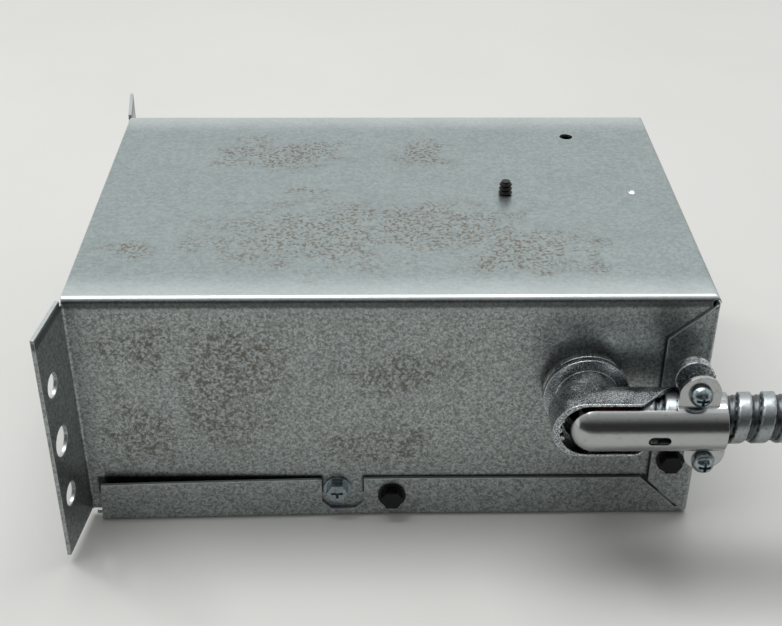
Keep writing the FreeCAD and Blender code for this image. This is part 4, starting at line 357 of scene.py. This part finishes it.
def galvanised_sheet(settings, name, stain_share, dulling, seamed):
    """Hot-dip galvanised sheet: rolled streaks, a fine spangle and flecked brown storage stain in blotches.

    Colour = skin on the top or etched wall, mixed to the stain by flecks * blotches, then the walls' lines
    (a painted dark reflection under the fold and a press line), the seam's painted shade, a broad dulling,
    and last the edges rubbed bright, which also paints the folds' highlight.
    """
    material, tree, shader, where = new_material(name, SKIN_METALLIC, 0.36)
    place = add(tree, "SeparateXYZ", {0: where}).node.outputs
    rounded, edge = worn_edges(tree, 0.45)
    facing = add(tree, "SeparateXYZ", {0: add(tree, "NewGeometry", {}, "True Normal")}, "Z")
    upward = add(tree, "MapRange", {0: facing, 1: 0.3, 2: 0.8}, **SMOOTH)
    colour, streak = rolled_skin(tree, where, place, settings)
    colour = etched_walls(tree, where, upward, colour, settings)
    stain, fleck = storage_stain(tree, where, upward, stain_share)
    colour = add(tree, "Mix", {0: stain, 6: colour, 7: tuple(settings.stain)}, **COLOURS)
    # painted dark reflection under the fold, and the press line below it
    colour = paint_fold_reflection_and_press_lines(tree, place, upward, colour)
    if seamed:
        # painted shade: the gap between the flange and the wall darkened to near black
        seam_shade = paint_seam_shade(tree, place, settings)
        colour = add(tree, "Mix", {0: seam_shade, 6: colour, 7: linear("#0c0d0d")}, **COLOURS)
    cloud = add(tree, "TexNoise", {"Vector": where, "Scale": per_mm(CLOUD), "Detail": 3.0})
    dull = add(tree, "MapRange", {0: cloud, 1: 0.35, 2: 0.7, 3: dulling * 0.6, 4: dulling}, **SMOOTH)
    colour = add(tree, "Mix", {0: dull, 6: colour, 7: linear("#4e5353")}, **COLOURS)
    # the edges are rubbed bright, and along the folds the same brightening paints the folds' highlight
    rubbed = add(tree, "Math", {0: edge, 1: 0.6}, **PRODUCT)
    colour = add(tree, "Mix", {0: rubbed, 6: colour, 7: linear("#c6cbca")}, **COLOURS)
    grain = add(tree, "Bump", {"Height": streak, "Distance": 0.01 * MM, "Strength": 0.4, "Normal": rounded})
    relief = {"Height": fleck, "Distance": 0.02 * MM, "Strength": 0.35, "Normal": grain}
    feed(
        tree, shader, Base_Color=colour,
        Roughness=add(tree, "MapRange", {0: stain, 1: 0.0, 2: 0.8, 3: 0.34, 4: 0.52}, **SMOOTH),
        Metallic=add(tree, "MapRange", {0: edge, 3: SKIN_METALLIC, 4: EDGE_METALLIC}),
        Normal=add(tree, "Bump", relief),
    )
    return material


def cast_zinc(name):
    """Die-cast zinc, as cast: pebbled skin with painted glints on its facets, dull broad patches and rubbed
    edges.
    """
    material, tree, shader, where = new_material(name, 1.0, 0.34)
    rounded, edge = worn_edges(tree, 0.5)
    pebble = add(tree, "TexNoise", {"Vector": where, "Scale": per_mm(0.45), "Detail": 4.0, "Roughness": 0.65})
    broad = add(tree, "TexNoise", {"Vector": where, "Scale": per_mm(7), "Detail": 3.0})
    # painted glints: the pebble's high spots turned nearly white
    painted_glint = add(tree, "MapRange", {0: pebble, 1: 0.42, 2: 0.66}, **SMOOTH)
    colour = add(tree, "Mix", {0: painted_glint, 6: linear("#5f666a"), 7: linear("#f2f5f6")}, **COLOURS)
    dull = add(tree, "MapRange", {0: broad, 1: 0.38, 2: 0.66, 3: 0.0, 4: 0.25}, **SMOOTH)
    colour = add(tree, "Mix", {0: dull, 6: colour, 7: linear("#7b8286")}, **COLOURS)
    rubbed = add(tree, "Math", {0: edge, 1: 0.7}, **PRODUCT)
    colour = add(tree, "Mix", {0: rubbed, 6: colour, 7: linear("#e4e7e8")}, **COLOURS)
    relief = {"Height": pebble, "Distance": 0.11 * MM, "Strength": 0.65, "Normal": rounded}
    feed(
        tree, shader, Base_Color=colour,
        Roughness=add(tree, "MapRange", {0: broad, 1: 0.35, 2: 0.68, 3: 0.20, 4: 0.40}, **SMOOTH),
        Normal=add(tree, "Bump", relief),
    )
    return material


def plated_strap(name):
    """Bright nickel plate over a stamping: nearly a mirror, with soft waves and a few dull stains."""
    material, tree, shader, where = new_material(name, 1.0, 0.12)
    rounded = add(tree, "Bevel", {"Radius": 0.3 * MM}, samples=6)
    wave = add(tree, "TexNoise", {"Vector": where, "Scale": per_mm(5), "Detail": 2.0})
    stain = add(tree, "TexNoise", {"Vector": where, "Scale": per_mm(1.6), "Detail": 4.0, "Roughness": 0.6})
    mark = add(tree, "MapRange", {0: stain, 1: 0.56, 2: 0.70, 3: 0.0, 4: 0.3}, **SMOOTH)
    colour = add(tree, "Mix", {0: mark, 6: linear("#aeb0b0"), 7: linear("#7d7b76")}, **COLOURS)
    relief = {"Height": wave, "Distance": 0.10 * MM, "Strength": 0.5, "Normal": rounded}
    feed(
        tree, shader, Base_Color=colour,
        Roughness=add(tree, "MapRange", {0: stain, 1: 0.45, 2: 0.70, 3: 0.16, 4: 0.22}, **SMOOTH),
        Normal=add(tree, "Bump", relief),
    )
    return material


def brushed_dial(name):
    """Anodised aluminium brushed across: fine grooves along Y, with a slow change of gloss."""
    material, tree, shader, where = new_material(name, 1.0, 0.34)
    drawn = add(tree, "Mapping", {"Vector": where, "Scale": (1.0, 0.03, 1.0)})
    line = add(tree, "TexNoise", {"Vector": drawn, "Scale": per_mm(0.18), "Detail": 3.0})
    share = add(tree, "MapRange", {0: line, 1: 0.35, 2: 0.65}, **SMOOTH)
    colour = add(tree, "Mix", {0: share, 6: linear("#a3a7aa"), 7: linear("#c9cccd")}, **COLOURS)
    rough = add(tree, "MapRange", {0: line, 1: 0.3, 2: 0.7, 3: 0.28, 4: 0.42})
    feed(
        tree, shader, Base_Color=colour, Roughness=rough,
        Normal=add(tree, "Bump", {"Height": line, "Distance": 0.01 * MM, "Strength": 0.4}),
    )
    return material


def conduit_strip(settings):
    """Galvanised strip, wound and interlocked: bright crests and painted shade in the grooves, from the ridge
    attribute.
    """
    material, tree, shader, where = new_material("Galvanised steel strip, wound", 1.0, 0.26)
    crest = add(tree, "Attribute", {}, "Fac", attribute_name="crest")
    scuff = add(tree, "TexNoise", {"Vector": where, "Scale": per_mm(0.9), "Detail": 4.0})
    # painted shade: the grooves are darker than the crests
    high = add(tree, "MapRange", {0: crest, 1: 0.1, 2: 0.85}, **SMOOTH)
    colour = add(tree, "Mix", {0: high, 6: linear("#4a4e50"), 7: tuple(settings.strip_colour)}, **COLOURS)
    worn = add(tree, "MapRange", {0: scuff, 1: 0.46, 2: 0.74, 3: 0.0, 4: 0.55}, **SMOOTH)
    colour = add(tree, "Mix", {0: worn, 6: colour, 7: linear("#6d7375")}, **COLOURS)
    feed(
        tree, shader, Base_Color=colour,
        Roughness=add(tree, "MapRange", {0: scuff, 1: 0.35, 2: 0.7, 3: 0.30, 4: 0.46}),
        Normal=add(tree, "Bump", {"Height": scuff, "Distance": 0.02 * MM, "Strength": 0.35}),
    )
    return material


def table_cloth(colour):
    """Matte off-white woven table covering, nearly even, with faint soft clouding."""
    material, tree, shader, where = new_material("Woven cotton cloth, off-white", 0.0, 0.9)
    cloud = add(tree, "TexNoise", {"Vector": where, "Scale": per_mm(120), "Detail": 3.0})
    share = add(tree, "MapRange", {0: cloud, 1: 0.35, 2: 0.7, 3: 0.0, 4: 0.25}, **SMOOTH)
    feed(tree, shader, Base_Color=add(tree, "Mix", {0: share, 6: colour, 7: linear("#c9c9c5")}, **COLOURS))
    return material


# Slots whose finishes have a pattern of their own.
SPECIAL = {
    "die_cast_zinc": (cast_zinc, "Die-cast zinc, as cast"),
    "bright_plated_steel": (plated_strap, "Bright nickel plated steel"),
    "dial_aluminium": (brushed_dial, "Brushed anodised aluminium"),
}


def finish(slot):
    """The slot's finish, made when first asked for and then shared."""
    make, name, *looks = SPECIAL[slot] if slot in SPECIAL else (plain_finish, *FINISHES[slot])
    return bpy.data.materials.get(name) or make(name, *looks)


# ---------------------------------------------------------------- pieces


def dress(names, material):
    """Give CAD nodes a material through their objects' slots."""
    for name in names:
        piece = NODES[name]
        if not piece.material_slots:
            piece.data.materials.append(material)
        for slot in piece.material_slots:
            slot.material = material


def dress_plain(names):
    """Each node in the finish of its slot."""
    for name in names:
        dress([name], finish(SLOT_OF[name]))


def put_piece(name, mesh, material, body, slot, *replaced):
    """A finished piece at the origin, riding on a body and standing for the CAD nodes named."""
    piece = bpy.data.objects.new(name, mesh)
    bpy.context.scene.collection.objects.link(piece)
    mesh.materials.clear()
    mesh.materials.append(material)
    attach(piece, body)
    if replaced:
        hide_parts(*replaced)
    return piece


def smooth_by_angle(mesh, degrees):
    """Smooth shading with edges sharper than an angle kept crisp."""
    mesh.polygons.foreach_set("use_smooth", np.ones(len(mesh.polygons), bool))
    mesh.set_sharp_from_angle(angle=math.radians(degrees))


def grid_mesh(name, points):
    """Quads over a grid of points that closes round its second direction, with a cap at each end."""
    rings, around = points.shape[:2]
    index = np.arange(rings * around).reshape(rings, around)
    after = np.roll(index, -1, axis=1)
    quads = np.stack([index[:-1], after[:-1], after[1:], index[1:]], axis=-1).reshape(-1, 4)
    caps = [index[0][::-1].tolist(), index[-1].tolist()]
    mesh = bpy.data.meshes.new(name)
    mesh.from_pydata(points.reshape(-1, 3).tolist(), [], quads.tolist() + caps)
    mesh.update()
    return mesh


ROUTE_STEPS = 48  # points read from each stretch of the route


def whip_line():
    """Points read from the route's smooth spline."""
    curve = bpy.data.curves.new("whip_route", "CURVE")
    curve.dimensions = "3D"
    curve.resolution_u = ROUTE_STEPS
    spline = curve.splines.new("NURBS")
    spline.points.add(len(WHIP) - 1)
    spline.points.foreach_set("co", np.c_[np.array(WHIP), np.ones(len(WHIP))].ravel())
    spline.order_u = 3
    spline.use_endpoint_u = True
    carrier = bpy.data.objects.new("whip_route", curve)
    bpy.context.scene.collection.objects.link(carrier)
    line_mesh = bpy.data.meshes.new_from_object(carrier)
    line = np.zeros(len(line_mesh.vertices) * 3)
    line_mesh.vertices.foreach_get("co", line)
    bpy.data.objects.remove(carrier)
    bpy.data.curves.remove(curve)
    bpy.data.meshes.remove(line_mesh)
    return line.reshape(-1, 3)


def resample(line, count):
    """The line as evenly spaced points, and how far along it each one lies."""
    steps = np.linalg.norm(np.diff(line, axis=0), axis=1)
    reached = np.concatenate([[0], np.cumsum(steps)])
    at = np.linspace(0, reached[-1], count)
    return np.stack([np.interp(at, reached, line[:, i]) for i in range(3)], axis=1), at


def smooth_step(x):
    """Nought below 0, one above 1, and 3x^2 - 2x^3 between."""
    x = np.clip(x, 0, 1)
    return x * x * (3 - 2 * x)


# The wound strip: points round the conduit and along each pitch, the share of a pitch over which a
# ridge rises, and the low lap in the groove, with its height, ends and slopes as shares of a pitch.
AROUND, PER_PITCH = 48, 16
RIDGE_FLANK = 0.09
LAP_HEIGHT = 0.25
LAP_FROM, LAP_TO, LAP_RISE, LAP_FALL = 0.80, 0.97, 0.05, 0.03


def strip_crest(phase, ridge_share):
    """Height from groove to crest: up, nearly flat and down over the ridge's share, then the low lap."""
    crest = smooth_step(phase / RIDGE_FLANK) * smooth_step((ridge_share - phase) / RIDGE_FLANK)
    lap = smooth_step((phase - LAP_FROM) / LAP_RISE) * smooth_step((LAP_TO - phase) / LAP_FALL)
    return np.maximum(crest, LAP_HEIGHT * lap)


def conduit_mesh(sizes, radius):
    """Wound strip: the radius rises and falls once a pitch, the crest turning with the angle.

    Reach = radius - ridge depth * (1 - crest), at the phase (length / pitch - angle / full turn).
    """
    line = whip_line()
    length = np.linalg.norm(np.diff(line, axis=0), axis=1).sum()
    spots, along = resample(line, int(length / sizes.pitch * PER_PITCH))
    ahead = np.gradient(spots, axis=0)
    ahead /= np.linalg.norm(ahead, axis=1, keepdims=True)
    side = np.cross(ahead, (0.0, 0.0, 1.0))
    side /= np.linalg.norm(side, axis=1, keepdims=True)
    up = np.cross(side, ahead)
    angle = np.arange(AROUND) * 2 * np.pi / AROUND
    phase = (along[:, None] / sizes.pitch - angle[None] / (2 * np.pi)) % 1
    crest = strip_crest(phase, sizes.ridge_share)
    reach = radius - sizes.ridge_depth * (1 - crest)
    points = spots[:, None] + reach[..., None] * (
        np.cos(angle)[None, :, None] * side[:, None] + np.sin(angle)[None, :, None] * up[:, None]
    )
    mesh = grid_mesh("conduit", points)
    values = mesh.attributes.new("crest", "FLOAT", "POINT")
    values.data.foreach_set("value", crest.ravel().astype(np.float32))
    smooth_by_angle(mesh, degrees=50)
    return mesh, spots, length


MERGE_DISTANCE = 0.001 * MM


def merged_copy(node, cuts):
    """The node's mesh as one closed skin, cut across at places along the box."""
    mesh = NODES[node].data.copy()
    work = bmesh.new()
    work.from_mesh(mesh)
    bmesh.ops.remove_doubles(work, verts=work.verts, dist=MERGE_DISTANCE)
    for place in cuts:
        every = work.verts[:] + work.edges[:] + work.faces[:]
        bmesh.ops.bisect_plane(work, geom=every, plane_co=(place, 0, 0), plane_no=(1, 0, 0))
    work.to_mesh(mesh)
    work.free()
    return mesh


SPRING_POWER = 1.2
SPRING_CUTS = (0.0, 0.25, 0.5, 0.75)  # shares of the sprung run where the mesh may bend
RISE_SLACK = 0.1 * MM  # points this far over the flange's edge still move with it


def sprung_cover_mesh(sizes):
    """The cover's mesh with the near flange sprung outward, as much as the distance from its screw.

    Shift = (at the fold + (at the edge - at the fold) * height share) * (distance share ^ spring power),
    where the distance share is (screw - x) / (screw - free end).
    """
    run = sizes.screw_place - COVER_LOW.x
    mesh = merged_copy("wiring_cover", [sizes.screw_place - run * share for share in SPRING_CUTS])
    place = np.zeros(len(mesh.vertices) * 3)
    mesh.vertices.foreach_get("co", place)
    place = place.reshape(-1, 3)
    reach = np.clip((sizes.screw_place - place[:, 0]) / run, 0, 1) ** SPRING_POWER
    rise = np.clip(place[:, 2] / sizes.flange_rise, 0, 1)
    on_flange = place[:, 1] < SHELL_NEAR + sizes.inner_fold
    on_flange &= place[:, 2] < sizes.flange_rise + RISE_SLACK
    shift = (sizes.spring_at_fold + (sizes.spring - sizes.spring_at_fold) * rise) * reach
    place[:, 1] -= np.where(on_flange, shift, 0)
    mesh.vertices.foreach_set("co", place.ravel())
    mesh.update()
    smooth_by_angle(mesh, degrees=30)
    return mesh


NUMERALS = (("1", 60), ("0", 0), ("2", -60))  # each with its degrees from upright, towards +Y
NUMERAL_RAISE = 0.06 * MM
# Turns type that lies flat and reads along X so that it stands on the face that looks towards -X.
TO_FACE = Matrix(((0, 0, -1, 0), (-1, 0, 0, 0), (0, 1, 0, 0), (0, 0, 0, 1)))


def numeral_mesh(text, size, centre):
    """A plain numeral standing a hair proud of the dial, turned to face the user."""
    curve = bpy.data.curves.new("numeral", "FONT")
    curve.body = text
    curve.size = size
    curve.extrude = NUMERAL_RAISE
    curve.align_x = curve.align_y = "CENTER"
    carrier = bpy.data.objects.new("numeral", curve)
    bpy.context.scene.collection.objects.link(carrier)
    mesh = bpy.data.meshes.new_from_object(carrier)
    bpy.data.objects.remove(carrier)
    bpy.data.curves.remove(curve)
    mesh.transform(Matrix.Translation(centre) @ TO_FACE)
    return mesh


# ---------------------------------------------------------------- settings


def colour_setting(name, description, code):
    """A colour that a user may change, from its sRGB hex code."""
    return FloatVectorProperty(
        name=name, description=description, subtype="COLOR", size=4, min=0, max=1, default=linear(code))


def length_setting(name, description, default_mm, **limits):
    """A length that a user may change, from its default in mm."""
    return FloatProperty(
        name=name, description=description, unit="LENGTH", default=default_mm * MM, **limits)


def power_setting(name, description, default):
    """A lamp's power, in watts."""
    return FloatProperty(name=name, description=description, unit="POWER", min=0, default=default)


class StageSettings(bpy.types.PropertyGroup):
    floor_colour: colour_setting("Floor colour", "Colour of the table covering", "#d2d2cf")
    lamp_power: power_setting("Lamp power", "Power of the soft lamp above and behind", 15.8)
    spark_power: power_setting(
        "Spark power", "Power of the small lamp that puts highlights on bright metal", 2.2)
    fill_level: FloatProperty(
        name="Fill level", description="Strength of the even light from all round", min=0, default=0.43)
    card_distance: length_setting(
        "Card distance", "Radius of the dark card that arches in front of the box", 420, min=0.3)


class SheetSettings(bpy.types.PropertyGroup):
    sheet: colour_setting("Sheet colour", "Colour of the clean galvanised sheet", "#a0aaaa")
    spangle: colour_setting("Spangle colour", "Colour of the darker crystals", "#8b9696")
    stain: colour_setting("Stain colour", "Colour of the storage stain", "#6a645a")
    wall: colour_setting("Wall colour", "Colour of the duller walls and ears", "#999f9f")
    spring: length_setting(
        "Flange spring", "How far the near flange's free end stands off the wall, at its edge", 3.0, min=0)
    spring_at_fold: length_setting(
        "Spring at the fold", "How far the near flange's free end stands off at its fold", 2.2, min=0)
    screw_place: length_setting("Screw place", "Where the flange's screw holds it, along the box", 0.2)
    inner_fold: length_setting(
        "Inner fold", "How far the flange's fold reaches in behind the wall's face", 0.2)
    flange_rise: length_setting("Flange rise", "Height of the flange's upper edge", 16.3)
    strip_width: length_setting("Strip width", "Width of the flange's upright strip", 15)
    strip_rise: length_setting("Strip rise", "Height of the strip's lower top corner", 72.2)
    flange_start: length_setting(
        "Flange start", "Distance of the flange's free end from the cover's free edge", 2.6)
    notch_place: length_setting("Notch place", "Middle of the bonding screw's notch", -16.3)
    notch_width: length_setting("Notch width", "Width of the bonding screw's notch", 14.2)


class WhipSettings(bpy.types.PropertyGroup):
    pitch: length_setting("Pitch", "Distance from one ridge to the next", 7.45)
    ridge_share: FloatProperty(
        name="Ridge share", description="Share of the pitch that the ridge takes",
        min=0.3, max=0.9, default=0.68)
    ridge_depth: length_setting("Ridge depth", "Height of the ridge over the groove", 1.15)
    strip_colour: colour_setting("Strip colour", "Colour of the bright crests", "#9da3a5")


class ControlSettings(bpy.types.PropertyGroup):
    numeral_size: length_setting("Numeral size", "Height of the numerals' type", 5.6)
    numeral_radius: length_setting("Numeral radius", "Distance of the numerals from the knob's axis", 23.4)


# ---------------------------------------------------------------- operators


# The camera: lens in mm, place in metres, turn in degrees.
CAMERA_LENS = 58.277
CAMERA_SHIFT = -0.0018
CAMERA_PLACE = (-0.0061, -0.3977, 0.2917)
CAMERA_TURN = (57.449, -0.329, -0.850)
FLOOR_HALF = 4.0  # metres
# Each lamp's place and its two sides, in metres, and the spot on the box that they aim at.
SOFT_LAMP = ((-0.10, 0.22, 1.40), (1.3, 0.7))
SPARK_LAMP = ((-0.75, 0.38, 1.27), (0.20, 0.20))
LAMP_AIM = Vector((0.02, -0.05, 0.0))
# The dark card: its ends across and its arch in degrees, each with its count of points. It fades
# towards the table and towards the sky, so its reflection has soft borders. Each fade has its first
# and last height and the glow there. Widths and heights are shares of the card's distance.
CARD_ACROSS = (-1.5, 1.4, 9)
CARD_ARCH = (1, 66, 17)
CARD_FADES = ((0.02, 0.20, 0.30, 0.0), (0.50, 0.94, 0.03, 0.55))


def card_mesh(distance):
    """A grid over (across, angle): place = (across, -distance * cosine, distance * sine)."""
    across = np.linspace(*CARD_ACROSS) * distance
    across, turn = np.meshgrid(across, np.radians(np.linspace(*CARD_ARCH)))
    points = np.stack([across, -distance * np.cos(turn), distance * np.sin(turn)], axis=-1)
    index = np.arange(points.shape[0] * points.shape[1]).reshape(points.shape[:2])
    quads = np.stack([index[:-1, :-1], index[:-1, 1:], index[1:, 1:], index[1:, :-1]], axis=-1)
    mesh = bpy.data.meshes.new("dark_card")
    mesh.from_pydata(points.reshape(-1, 3).tolist(), [], quads.reshape(-1, 4).tolist())
    return mesh


def black_card(distance):
    """Matte black card, a little clouded, with a faint glow towards its borders."""
    material, tree, shader, where = new_material("Black card, matte", 0.0, 0.95)
    cloud = add(tree, "TexNoise", {"Vector": where, "Scale": per_mm(250)})
    colour = add(tree, "Mix", {0: cloud, 6: linear("#181614"), 7: linear("#2c2a28")}, **COLOURS)
    height = add(tree, "SeparateXYZ", {0: where}, "Z")
    below, above = [
        add(tree, "MapRange", {0: height, 1: low * distance, 2: high * distance, 3: first, 4: last}, **SMOOTH)
        for low, high, first, last in CARD_FADES
    ]
    glow = add(tree, "Math", {0: below, 1: above}, operation="ADD")
    feed(tree, shader, Base_Color=colour, Emission_Strength=glow)
    return material


class SWITCH_OT_stage(bpy.types.Operator):
    """Floor, lights and camera"""
    bl_idname = "switch.stage"
    bl_label = "Stage"

    def execute(self, context):
        settings = context.scene.switch_stage
        scene = context.scene
        scene.view_settings.view_transform = "Standard"
        self.viewer(scene)
        self.table(scene, table_cloth(tuple(settings.floor_colour)))
        self.dark_card(scene, settings.card_distance)
        self.lamp(scene, "soft_lamp", *SOFT_LAMP, settings.lamp_power)
        self.lamp(scene, "spark_lamp", *SPARK_LAMP, settings.spark_power)
        self.light_world(scene, settings.fill_level)
        return {"FINISHED"}

    def viewer(self, scene):
        """The camera, above the near wall."""
        camera = bpy.data.cameras.new("camera")
        camera.lens = CAMERA_LENS
        camera.shift_x = CAMERA_SHIFT
        viewer = bpy.data.objects.new("camera", camera)
        viewer.location = CAMERA_PLACE
        viewer.rotation_euler = [math.radians(turn) for turn in CAMERA_TURN]
        scene.collection.objects.link(viewer)
        scene.camera = viewer

    def table(self, scene, material):
        """One square, far wider than the box."""
        corners = [(FLOOR_HALF * x, FLOOR_HALF * y, 0) for x, y in ((-1, -1), (1, -1), (1, 1), (-1, 1))]
        mesh = bpy.data.meshes.new("floor")
        mesh.from_pydata(corners, [], [(0, 1, 2, 3)])
        mesh.materials.append(material)
        floor = bpy.data.objects.new("floor", mesh)
        scene.collection.objects.link(floor)

    def lamp(self, scene, name, place, size, power):
        """A soft rectangular lamp aimed at the box."""
        light = bpy.data.lights.new(name, "AREA")
        light.energy = power
        light.shape = "RECTANGLE"
        light.size, light.size_y = size
        holder = bpy.data.objects.new(name, light)
        holder.location = place
        aim = LAMP_AIM - holder.location
        holder.rotation_euler = aim.to_track_quat("-Z", "Y").to_euler()
        scene.collection.objects.link(holder)

    def dark_card(self, scene, distance):
        """A dark card arching up from the table in front of the box, met by reflections only."""
        mesh = card_mesh(distance)
        mesh.materials.append(black_card(distance))
        card = bpy.data.objects.new("dark_card", mesh)
        card.visible_camera = False
        card.visible_shadow = False
        card.visible_diffuse = False
        card.visible_transmission = False
        scene.collection.objects.link(card)

    def light_world(self, scene, level):
        """Even light from all round, which the camera, reflections and clear pieces see as plain white."""
        world = bpy.data.worlds.new("studio")
        world.use_nodes = True
        scene.world = world
        tree = world.node_tree
        seen = 0.0
        for kind in ("Is Camera Ray", "Is Glossy Ray", "Is Transmission Ray"):
            seen = add(tree, "Math", {0: add(tree, "LightPath", {}, kind), 1: seen}, operation="MAXIMUM")
        background = next(n for n in tree.nodes if n.type == "BACKGROUND")
        background.inputs["Color"].default_value = linear("#f7f8f8")
        strength = add(tree, "MapRange", {0: seen, 3: level, 4: 1.0})
        tree.links.new(strength, background.inputs["Strength"])


class SWITCH_OT_whip(bpy.types.Operator):
    """Flexible conduit whip with its wound ridges"""
    bl_idname = "switch.whip"
    bl_label = "Conduit whip"

    def execute(self, context):
        sizes = context.scene.switch_whip
        mesh, spots, length = conduit_mesh(sizes, WHIP_RADIUS)
        material = conduit_strip(sizes)
        piece = put_piece("conduit_whip", mesh, material, ROOT, "conduit_strip", "flexible_conduit")
        far_end = ["far_connector", "far_bushing", "far_locknut"]
        dress_plain(far_end)
        return {"FINISHED"}


class SWITCH_OT_sheets(bpy.types.Operator):
    """Folded sheets of the box, with the cover's near flange sprung"""
    bl_idname = "switch.sheets"
    bl_label = "Box sheets"

    def execute(self, context):
        settings = context.scene.switch_sheets
        shell = galvanised_sheet(
            settings, "Hot-dip galvanised steel sheet", stain_share=1.0, dulling=0.14, seamed=True)
        # the cover has less stain
        cover = galvanised_sheet(
            settings, "Hot-dip galvanised steel sheet, dull", stain_share=0.35, dulling=0.14, seamed=False)
        dress(["back_shell", "operator_plate", "tie_strap"], shell)
        mesh = sprung_cover_mesh(settings)
        piece = put_piece("sprung_cover", mesh, cover, ROOT, "galvanised_steel", "wiring_cover")
        # the broad flat faces keep their own normals beside the folds
        flat = piece.modifiers.new("Flat faces", "WEIGHTED_NORMAL")
        flat.keep_sharp = True
        flat.weight = 100
        return {"FINISHED"}


class SWITCH_OT_fixings(bpy.types.Operator):
    """Screws and rivet of the box"""
    bl_idname = "switch.fixings"
    bl_label = "Box fixings"

    def execute(self, context):
        dress_plain(["cover_screws", "bonding_screws", "block_screw", "ground_rivet"])
        return {"FINISHED"}


class SWITCH_OT_connector(bpy.types.Operator):
    """Angled connector, its strap, clamp screws and locknut"""
    bl_idname = "switch.connector"
    bl_label = "Angled connector"

    def execute(self, context):
        dress_plain(["connector_body", "connector_strap", "clamp_screws", "connector_locknut",
                     "anti_short_bushing"])
        return {"FINISHED"}


class SWITCH_OT_controls(bpy.types.Operator):
    """Knob, dial with its numerals, breaker and pilot lamps"""
    bl_idname = "switch.controls"
    bl_label = "Controls"

    def execute(self, context):
        sizes = context.scene.switch_controls
        dress_plain([
            "dial_plate", "knob", "knob_screw", "breaker_body", "breaker_nut", "breaker_button",
            "utility_lamp_body", "utility_lamp_lens", "generator_lamp_body", "generator_lamp_lens",
            "lamp_bezels", "lamp_clips", "breaker_tabs",
        ])
        ink = finish("printed_ink")
        middle = (KNOB_LOW.z + KNOB_HIGH.z) / 2
        for text, degrees in NUMERALS:
            turn = math.radians(degrees)
            aside, up = sizes.numeral_radius * math.sin(turn), sizes.numeral_radius * math.cos(turn)
            centre = Vector((DIAL_FACE, aside, middle + up))
            mesh = numeral_mesh(text, sizes.numeral_size, centre)
            put_piece(f"dial_numeral_{text}", mesh, ink, ROOT, "dial_aluminium")
        return {"FINISHED"}


class SWITCH_OT_inside(bpy.types.Operator):
    """Switch stack, terminal block, ground bar and conductors inside the box"""
    bl_idname = "switch.inside"
    bl_label = "Inside"

    def execute(self, context):
        dress_plain([
            "terminal_block", "terminal_strips", "terminal_screws", "ground_bar", "ground_screws",
            "switch_shaft", "index_housing", "index_wheel", "index_spring", "line_stage", "line_rotor",
            "generator_stage", "generator_rotor", "fixed_contacts", "contact_screws", "rotor_blades",
            "switch_end_plate", "tie_screws", "switch_mount_screws",
        ])
        dress_plain([
            "line_wire", "load_wire", "neutral_wire", "ground_wire", "feed_wire", "breaker_wire",
            "load_jumper", "utility_lamp_leads", "generator_lamp_leads",
        ])
        return {"FINISHED"}


class SWITCH_PT_panel(bpy.types.Panel):
    """Lists what can be made"""
    bl_idname = "SWITCH_PT_panel"
    bl_label = "Transfer switch"
    bl_space_type = "VIEW_3D"
    bl_region_type = "UI"
    bl_category = "Switch"

    def draw(self, context):
        for maker in MAKERS:
            self.layout.operator(maker.bl_idname)
        for name in GROUPS:
            settings = getattr(context.scene, name)
            for key in settings.__annotations__:
                self.layout.prop(settings, key)


MAKERS = (
    SWITCH_OT_stage,
    SWITCH_OT_whip,
    SWITCH_OT_sheets,
    SWITCH_OT_fixings,
    SWITCH_OT_connector,
    SWITCH_OT_controls,
    SWITCH_OT_inside,
)
GROUPS = {
    "switch_stage": StageSettings,
    "switch_sheets": SheetSettings,
    "switch_whip": WhipSettings,
    "switch_controls": ControlSettings,
}


def register():
    for group in GROUPS.values():
        bpy.utils.register_class(group)
    for maker in MAKERS:
        bpy.utils.register_class(maker)
    bpy.utils.register_class(SWITCH_PT_panel)
    for name, group in GROUPS.items():
        setattr(bpy.types.Scene, name, PointerProperty(type=group))


def unregister():
    for name in GROUPS:
        delattr(bpy.types.Scene, name)
    bpy.utils.unregister_class(SWITCH_PT_panel)
    for maker in reversed(MAKERS):
        bpy.utils.unregister_class(maker)
    for group in reversed(list(GROUPS.values())):
        bpy.utils.unregister_class(group)


def main():
    register()
    for maker in MAKERS:
        group, name = maker.bl_idname.split(".")
        getattr(getattr(bpy.ops, group), name)()


if __name__ == "__main__":
    main()
